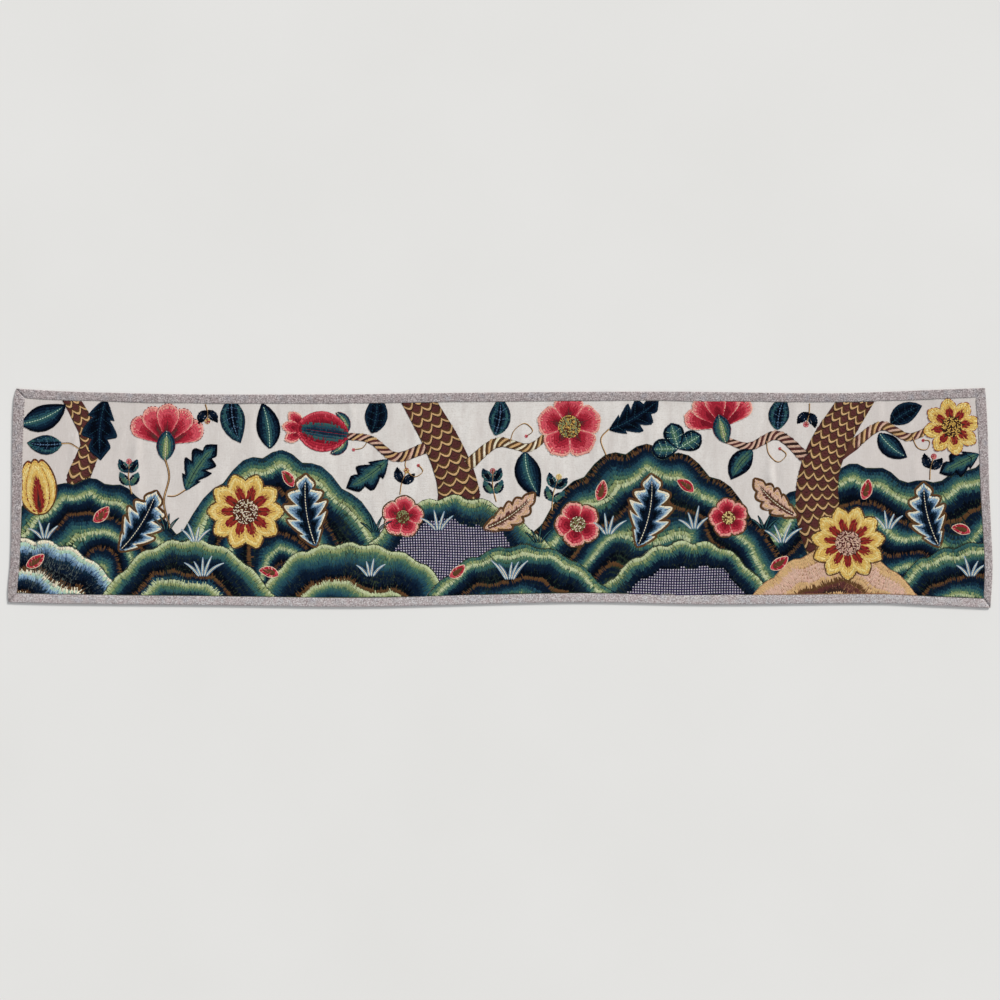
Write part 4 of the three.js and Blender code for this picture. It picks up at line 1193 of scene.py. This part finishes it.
for name in [*FERNS, *FRONDS]:
    basket = Basket()
    sides = shapes[name][0][1]
    own = part_numbers[name, 0]
    dyes = FERN_DYES if name in FERNS else FROND_DYES
    halo(basket, outline_of("leaf", sides), BARK)
    spread(basket, sides, own, dyes, LEAF_ROOT, lift=0.15)
    stem_stitch(basket, sides[0][MIDRIB], CREAM, width=1.8, stitch=4.2, lift=0.4, own=own, step=1.25)
    vein_ways = {"width": 1.2, "stitch": 5, "lift": 0.35, "own": own}
    work_veins(basket, sides, FERN_VEINS, FERN_VEIN_REACH, dyes[0], **vein_ways)
    # The padding is dyed in one of the darkest of the fern's wools: painted shade between the stitches
    work_piece(name, basket, nodes_of(name), np.array(dyes[1]))


# The flowers: each petal is shaded from its root to its rim in long-and-short stitch, and outlined.
# The hearts are filled with French knots, small wound beads of wool.
CRIMSON, DEEP_RED, PINK = dye(168, 42, 58), dye(124, 26, 40), dye(208, 84, 96)
PALE_PINK, CREAM_PINK = dye(230, 160, 148), dye(238, 204, 180)
GOLD, PALE_GOLD, BRICK = dye(217, 179, 96), dye(232, 211, 142), dye(146, 50, 40)
ROSE_DYES = [MAROON, DEEP_RED, CRIMSON, CRIMSON, PINK, PINK, PALE_PINK]
RED_DYES = [DEEP_RED, DEEP_RED, CRIMSON, CRIMSON, PINK, PALE_PINK]
GOLD_DYES = [DARK_BARK, BRICK, BRICK, DEEP_RED, GOLD, GOLD, PALE_GOLD, GOLD]
CUP_DYES = [LIME, LEAF_GREEN, SEA_GREEN, TEAL, TEAL_NAVY]
FRUIT_DYES = [TEAL_NAVY, TEAL, SEA_GREEN, DEEP_RED, CRIMSON, CRIMSON, PINK]
# Each flower's petal dyes, its outline and its knots
FLOWER_DYES = {
    "carnation_left": (ROSE_DYES, DEEP_RED, [GOLD]), "tulip_left": (GOLD_DYES, BRICK, [GOLD]),
    "pomegranate": (RED_DYES, CREAM_PINK, [GOLD]), "rose_middle": (ROSE_DYES, CREAM_PINK, [LIME, GOLD, BARK]),
    "aster_left": (GOLD_DYES, PALE_GOLD, [DARK_BARK, BARK, CREAM]),
    "aster_right": (GOLD_DYES, PALE_GOLD, [PINK_TAN, MAROON, CREAM_PINK]),
    "carnation_right": (RED_DYES, CREAM_PINK, [GOLD]), "star_flower": (GOLD_DYES, BRICK, [DARK_BARK, GOLD]),
    "pink_1": (ROSE_DYES, CREAM_PINK, [LIME, BARK]), "pink_2": (RED_DYES, CREAM_PINK, [CREAM, BARK, LIME]),
    "pink_3": (RED_DYES, PALE_PINK, [PALE_GOLD, BARK]), "trefoil": (LEAF_DYES[2][0], SEAFOAM, [GOLD]),
}
KNOT_PITCH = 2.3
KNOT_ARM = 1.15
KNOT_TURNS = (0.3, 1.9)
KNOT_STRAND = 1.9
PETAL_RIB = slice(2, int(PART_STEPS * 0.62))


def french_knots(basket, outline, dyes, lift=0.45, loose=False):
    """Knots over a round heart in rings, each as two short crossed stitches."""
    middle = outline.mean(0)
    radius = np.linalg.norm(outline - middle, axis=1).mean()
    spots = []
    for ring in range(int(radius / KNOT_PITCH) + 1):
        angle = np.linspace(0, 2 * math.pi, max(1, int(2 * math.pi * ring)), endpoint=False) + ring
        spots.append(middle + ring * KNOT_PITCH * np.stack([np.cos(angle), np.sin(angle)], 1))
    spots = np.concatenate(spots)
    tones = vary(np.array(dyes)[chance.integers(0, len(dyes), len(spots))], 0.12)
    for turn in KNOT_TURNS:
        arm = KNOT_ARM * np.array([math.cos(turn), math.sin(turn)])
        basket.lay(spots - arm, spots + arm, tones, width=KNOT_STRAND, lift=lift, loose=loose)


for name, (dyes, edge_dye, knot_dyes) in FLOWER_DYES.items():
    basket = Basket()
    flower_parts = [part_numbers[name, k] for k in range(len(shapes[name]))]
    for kind, part in shapes[name]:
        if kind == "petal" and name.startswith(("aster", "pink", "tulip")):
            halo(basket, outline_of(kind, part), BARK, (0.8, 2.0), flower_parts)
    for k, (kind, part) in enumerate(shapes[name]):
        own = part_numbers[name, k]
        if kind == "petal":
            spread(basket, part, own, dyes, root=0.35, lift=0.15)
            stem_stitch(basket, outline_of(kind, part)[2:-2], edge_dye, width=1.3, lift=0.4, own=own)
            stem_stitch(basket, part[0][PETAL_RIB], dyes[0], width=1.3, lift=0.4, own=own)
        elif kind == "cup":
            spread(basket, part, own, CUP_DYES, root=0.7, lift=0.2)
            stem_stitch(basket, part[0], CREAM, width=1.2, stitch=4, lift=0.45, own=own, step=1.2)
        elif kind == "fruit":
            spread(basket, part, own, FRUIT_DYES, root=0.85, lift=0.15)
        elif kind == "leaf":
            work_leaf(basket, part, own, dyes, edge_dye, 3)
        else:
            french_knots(basket, part, knot_dyes)
    # The padding is a petal dye darkened: painted shade between the stitches
    work_piece(name, basket, nodes_of(name), np.array(dyes[2]) * 0.7)


# The stalks, tendrils and sprigs: fine stem stitch that joins flowers and leaves to the boughs,
# with small satin leaves and knotted buds, worked last on the bare linen.
STALKS = [
    ([(-640, 76), (-632, 40), (-642, -8), (-630, -58)], [BARK, TAN, BARK]),
    ([(-636, 4), (-620, 4), (-600, 16)], [BARK, TAN]),
    ([(-804, 94), (-820, 104), (-838, 104)], [BARK, TAN]),
    ([(208, 132), (192, 112), (202, 82)], [BARK, TAN]),
]
TENDRILS = [
    [(-172, 86), (-182, 62), (-166, 40), (-148, 50), (-156, 62)],
    [(18, 104), (26, 128), (46, 142), (62, 128), (50, 118)],
    [(508, 108), (512, 84), (530, 68), (546, 82), (534, 94)],
    [(786, 118), (796, 96), (814, 92), (820, 108), (808, 110)],
    [(-252, 112), (-262, 96), (-280, 92)],
]
# Sprigs: foot, turn, length, pairs of leaves and the bud's dyes
SPRIGS = [
    (-704, 6, 94, 64, 2, [CRIMSON, PINK]), (-192, 6, 74, 48, 1, [GOLD, BRICK]),
    (-8, -8, 96, 60, 2, [CRIMSON, DEEP_RED]), (98, -26, 78, 68, 2, [GOLD, PALE_GOLD]),
    (590, 184, -98, 44, 1, [CRIMSON, PINK]),
    (820, 34, 80, 46, 1, [PINK, CRIMSON]), (-566, 186, -80, 40, 1, [GOLD, BRICK]),
]
SPRIG_LEAF = (31, 18)
SPRIG_LEANS = (-58, 46)
BUD_SIZE = 5.0
TENDRIL_BUD = 3.0
STALK_PITCH = 1.25
# Pods on the hills: place, turn and length
PODS = [
    (-776, -44, 30, 40), (-424, -148, 150, 38), (-96, -150, 24, 36), (186, -4, 60, 40), (368, 12, 130, 38),
    (516, -134, 20, 40), (896, -66, 150, 36), (692, -2, 60, 40), (-396, 22, 110, 36), (-904, -130, 20, 40),
]
POD_DYES = [BARK, PINK, CRIMSON, CRIMSON, PALE_PINK]

basket = Basket()
for knots, dyes in STALKS:
    line, along = flowing_line(knots)
    for k, dyed in enumerate(dyes):
        shift = STALK_PITCH * (k - (len(dyes) - 1) / 2)
        stem_stitch(basket, line + shift * leftward(along), dyed, loose=True, lift=0)
for knots in TENDRILS:
    line = flowing_line(knots)[0]
    stem_stitch(basket, line, BARK, width=1.5, stitch=5, lift=0, loose=True)
    stem_stitch(basket, line + 0.9, TAN, width=1.2, stitch=5, lift=0, loose=True)
    french_knots(basket, circle(TENDRIL_BUD) + line[-1], [CRIMSON, PINK], lift=0, loose=True)
work_piece("stalks", basket)

basket = Basket()
for x, y, turn, length, pairs, bud in SPRIGS:
    line = flowing_line(turned([(0, 0), (length / 2, length * 0.06), (length, 0)], x, y, turn))[0]
    stem_stitch(basket, line, BARK, width=1.7, lift=0, loose=True)
    stem_stitch(basket, line + 1.1, TAN, width=1.4, lift=0, loose=True)
    for k in range(pairs):
        spot = line[int(PART_STEPS * (k + 0.8) / (pairs + 0.6))]
        for lean in SPRIG_LEANS:
            leaf = placed(leaf_sides(*SPRIG_LEAF, bend=-lean / 90), *spot, turn + lean)
            dyes = LEAF_DYES[(k + pairs) % len(LEAF_DYES)][0]
            spread(basket, leaf, None, dyes, root=0.8, loose=True)
    french_knots(basket, circle(BUD_SIZE) + line[-1], bud, lift=0, loose=True)
work_piece("sprigs", basket)

basket = Basket()
for x, y, turn, length in PODS:
    pod = placed(leaf_sides(length, length * 0.5, bend=0.5), x, y, turn)
    halo(basket, outline_of("leaf", pod), CREAM_PINK, (0.6,))
    spread(basket, pod, None, POD_DYES, root=0.7, lift=0.15, loose=True)
work_piece("pods", basket)


# The grass: tufts of tapering blades in stem stitch, pale blue on the dark hills and dark teal
# where they stand up against the bare linen.
# Tufts: foot, number of blades, height, and whether they are pale
GRASS = [
    (-868, -78, 4, 34, True), (-566, -150, 5, 34, True), (-246, -150, 4, 32, True), (20, -156, 5, 36, True),
    (-116, -62, 4, 34, True), (372, -60, 4, 34, True), (540, -86, 4, 36, True), (742, -60, 4, 34, True),
    (900, -150, 4, 34, True), (-580, -84, 4, 32, True), (208, -70, 4, 32, True), (-636, -62, 4, 30, False),
    (506, -60, 4, 30, False), (-238, -66, 4, 30, False), (74, -86, 4, 30, False),
]
BLADE_WIDTH = 4.4
BLADE_PITCH = 3.4
TUFT_SPREAD = 54

basket = Basket()
for x, y, blades, height, pale in GRASS:
    dyes = (BLUE_GREY, CREAM, PALE_BLUE) if pale else (BLACK_NAVY, SEA_GREEN, NAVY)
    for k in range(blades):
        lean = TUFT_SPREAD * (k / (blades - 1) - 0.5) + chance.uniform(-5, 5)
        tall = height * chance.uniform(0.9, 1.35)
        blade = leaf_sides(tall, BLADE_WIDTH, bend=-lean / 42, belly=0.35)
        mid, right, left = placed(blade, x + BLADE_PITCH * (k - blades / 2), y, 90 - lean)
        for line, dyed in ((right, dyes[0]), (left, dyes[2]), (mid, dyes[1])):
            stem_stitch(basket, line, dyed, width=1.6, stitch=6, lift=0.05, loose=True)
work_piece("grass", basket)


# The binding: four strips of heathered grey linen, folded over the cut edges and mitred at the corners.
# Each is a little uneven in width, and puffs slightly between its outer fold and its hemmed inner edge.
# Small slip stitches in grey thread hold the hem down all the way round.
TAPE_BACK = 13.5
TAPE_TOP = 3.65
FOLD_ROUND = 1.5
MITRE_SHIFT = 0.2
STATION_PITCH = 9.0
CORNERS = {
    "top": (("left", 21), ("right", 19)),
    "bottom": (("left", 17), ("right", 14)),
    "left": (("bottom", 17), ("top", 17)),
    "right": (("bottom", 17), ("top", 17)),
}
STRIP_LONG = {"top": 1860, "bottom": 1860, "left": 405, "right": 405}
# Each strip's lightness is painted light: the same grey linen, with the bottom strip painted much lighter
# than the others
STRIP_PAINTED_LIGHT = {"top": 1.32, "bottom": 1.8, "left": 1.3, "right": 1.36}
PUFF, UNEVEN_PUFF = 0.25, 0.16
UNEVEN_WIDTH = 0.5
END_HEIGHT = 0.92
TAPE_THREADS = 340
PALEST = 0.85
HEM_PITCH = 6.0
HEM_SLANT = 1.1
HEM_REACH = (0.8, 1.2)
HEM_THREAD = dye(150, 142, 140)


def inset_corner(side_x, inset_x, side_y, inset_y):
    """Where two edges meet, each moved in by its own inset."""
    sign_x = 1 if side_x == "left" else -1
    sign_y = 1 if side_y == "bottom" else -1
    x, y = -HALF_LENGTH * sign_x, -HALF_DEPTH * sign_y
    for _ in range(6):
        x = float(edges[side_x](y)) + sign_x * inset_x
        y = float(edges[side_y](x)) + sign_y * inset_y
    return x, y


def tape_end(side, which, inset):
    """Where a line of the strip ends, on the mitre that it shares with its neighbour."""
    meets, other_width = CORNERS[side][which]
    other_inset = inset * other_width / STRIP_WIDTH[side][which]
    if side in ("left", "right"):
        return inset_corner(side, inset, meets, other_inset)
    return inset_corner(meets, other_inset, side, inset)


def tape_section(width, puff):
    """The folded strip's section as insets and heights, from the back hem round to the front hem."""
    quarter = np.linspace(0, math.pi / 2, 5)
    rise, turn_in = FOLD_ROUND * (1 - np.cos(quarter)), FOLD_ROUND * (1 - np.sin(quarter))
    outer = [(TAPE_BACK, 0.05), (8, 0)]
    outer += list(zip(turn_in, rise)) + list(zip(rise, TAPE_TOP - turn_in))
    outer += [(width * s, TAPE_TOP + puff * math.sin(math.pi * s)) for s in (0.25, 0.45, 0.65, 0.82, 0.93)]
    outer += [(width - 0.3, TAPE_TOP - 0.05), (width, TAPE_TOP - 0.4)]
    inner = [(width - 0.2, TAPE_TOP - 0.78), (width * 0.6, TAPE_TOP - 0.7), (2.2, TAPE_TOP - 0.75)]
    inner += [(1.0, TAPE_TOP - 1.4), (0.95, 1.6), (1.6, 0.85), (8, 0.8), (TAPE_BACK, 0.75)]
    return np.array(outer + inner)


def binding_material(name, level, painted_light):
    """Heathered grey linen: warm and cool threads run mostly along the strip, with soft darker blots. Every
    tone is scaled by the strip's lightness, which is painted light.
    """
    finish, tree, shader = new_material(name, roughness=0.92, sheen=0.1)

    # Each dye is scaled by the strip's painted light, up to the palest allowed
    def shade(red, green, blue):
        return tuple(min(channel * painted_light, PALEST) for channel in dye(red, green, blue))

    long_way, cross_way = ((110, 620, 1), (620, 130, 1)) if level else ((620, 110, 1), (130, 620, 1))
    picks = noise(tree, stretched(tree, long_way), 1.0, 2)
    ends = noise(tree, stretched(tree, cross_way), 1.0, 2)
    as_laid = stretched(tree, (1, 1, 1))
    heather, blush, cloud = (noise(tree, as_laid, scale, 3) for scale in (450, 60, 12))
    weave = woven(tree, as_laid, TAPE_THREADS)
    tone = mix_colour(tree, ramp(tree, picks, 0.35, 0.65), shade(128, 120, 120), shade(190, 183, 182))
    tone = layered(tree, tone, (
        (ramp(tree, cloud, 0.45, 0.8, 0.0, 0.6), shade(150, 140, 137)),
        (ramp(tree, ends, 0.52, 0.72), shade(114, 104, 108)),
        (ramp(tree, blush, 0.42, 0.62, 0.0, 0.35), shade(172, 150, 152)),
        (ramp(tree, blush, 0.45, 0.3, 0.0, 0.35), shade(146, 150, 166)),
        (ramp(tree, heather, 0.52, 0.66), shade(110, 100, 100)),
        (ramp(tree, heather, 0.47, 0.33), shade(208, 201, 200)),
        (ramp(tree, weave, 0.35, 0.0, 0.0, 0.4), shade(100, 89, 88)),
    ))
    tree.links.new(tone, shader.inputs["Base Color"])
    relief = reckon(tree, "ADD", weave, reckon(tree, "MULTIPLY", heather, 0.6))
    raise_grain(tree, shader, relief, distance=0.0004, strength=0.8)
    return finish


uneven = np.random.default_rng(11)


def wander(stations, reach, tame):
    """Slow random unevenness at each station, from noise smoothed over that reach."""
    return np.convolve(uneven.normal(size=stations + reach), np.hanning(reach), "valid") / tame


hemming = Basket()
for side, (start_width, end_width) in STRIP_WIDTH.items():
    level = side in ("top", "bottom")
    inwards = 1 if side in ("bottom", "left") else -1
    length = STRIP_LONG[side]
    count = int(length / STATION_PITCH)
    share = np.linspace(0, 1, count + 1)
    drift = wander(count, reach=21, tame=2.7)
    swell = wander(count, reach=13, tame=2.2)
    seam = np.clip(np.minimum(share, 1 - share) * length / 5, 0, 1) ** 0.5
    front_width = start_width + (end_width - start_width) * share + UNEVEN_WIDTH * drift * seam
    sections = np.array([tape_section(w, PUFF + UNEVEN_PUFF * s) for w, s in zip(front_width, swell)])
    sections[:, :, 1] *= (END_HEIGHT + (1 - END_HEIGHT) * seam)[:, None]
    points = np.zeros((*sections.shape[:2], 3))
    for j in range(sections.shape[1]):
        inset = sections[:, j, 0]
        begin, finish = tape_end(side, 0, inset[0]), tape_end(side, 1, inset[-1])
        along = 0 if level else 1
        at = begin[along] + MITRE_SHIFT + (finish[along] - begin[along] - 2 * MITRE_SHIFT) * share
        points[:, j, along] = at
        points[:, j, 1 - along] = edges[side](at) + inwards * inset
        points[:, j, 2] = sections[:, j, 1]
    ring = sections.shape[1]
    index = np.arange((count + 1) * ring).reshape(count + 1, ring)
    beside = np.roll(index, -1, axis=1)
    loft = np.stack([index[:-1], beside[:-1], beside[1:], index[1:]], -1).reshape(-1, 4)
    caps = [index[0][::-1], index[-1]]
    if side in ("bottom", "right"):
        loft, caps = loft[:, ::-1], [cap[::-1] for cap in caps]
    loops = np.concatenate([loft.ravel(), *caps])
    sizes = [4] * len(loft) + [ring, ring]
    binding_finish = binding_material(f"grey_linen_painted_light_{side}", level, STRIP_PAINTED_LIGHT[side])
    strip = new_piece(f"strip_{side}", points.reshape(-1, 3), loops, sizes, binding_finish)
    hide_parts(f"binding_{side}")
    hem = points[:, int(np.argmax(sections[0, :, 0])), :2]
    travel = distance_along(hem)
    spots = spots_on(hem, travel, np.arange(HEM_PITCH, travel[-1] - HEM_PITCH, HEM_PITCH))
    inward = np.array([0, inwards] if level else [inwards, 0])
    sideways = np.array([HEM_SLANT, 0] if level else [0, HEM_SLANT])
    starts = spots + HEM_REACH[0] * inward - sideways
    ends = spots - HEM_REACH[1] * inward + sideways
    hemming.lay(starts, ends, vary(np.tile(HEM_THREAD, (len(spots), 1))), width=0.7, lift=0.2)
work_piece("hem", hemming)


# What the panel measures with all its wool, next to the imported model
sizes = {"cad": [list(corner) for corner in cad_box], "visual": [list(corner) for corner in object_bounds()]}
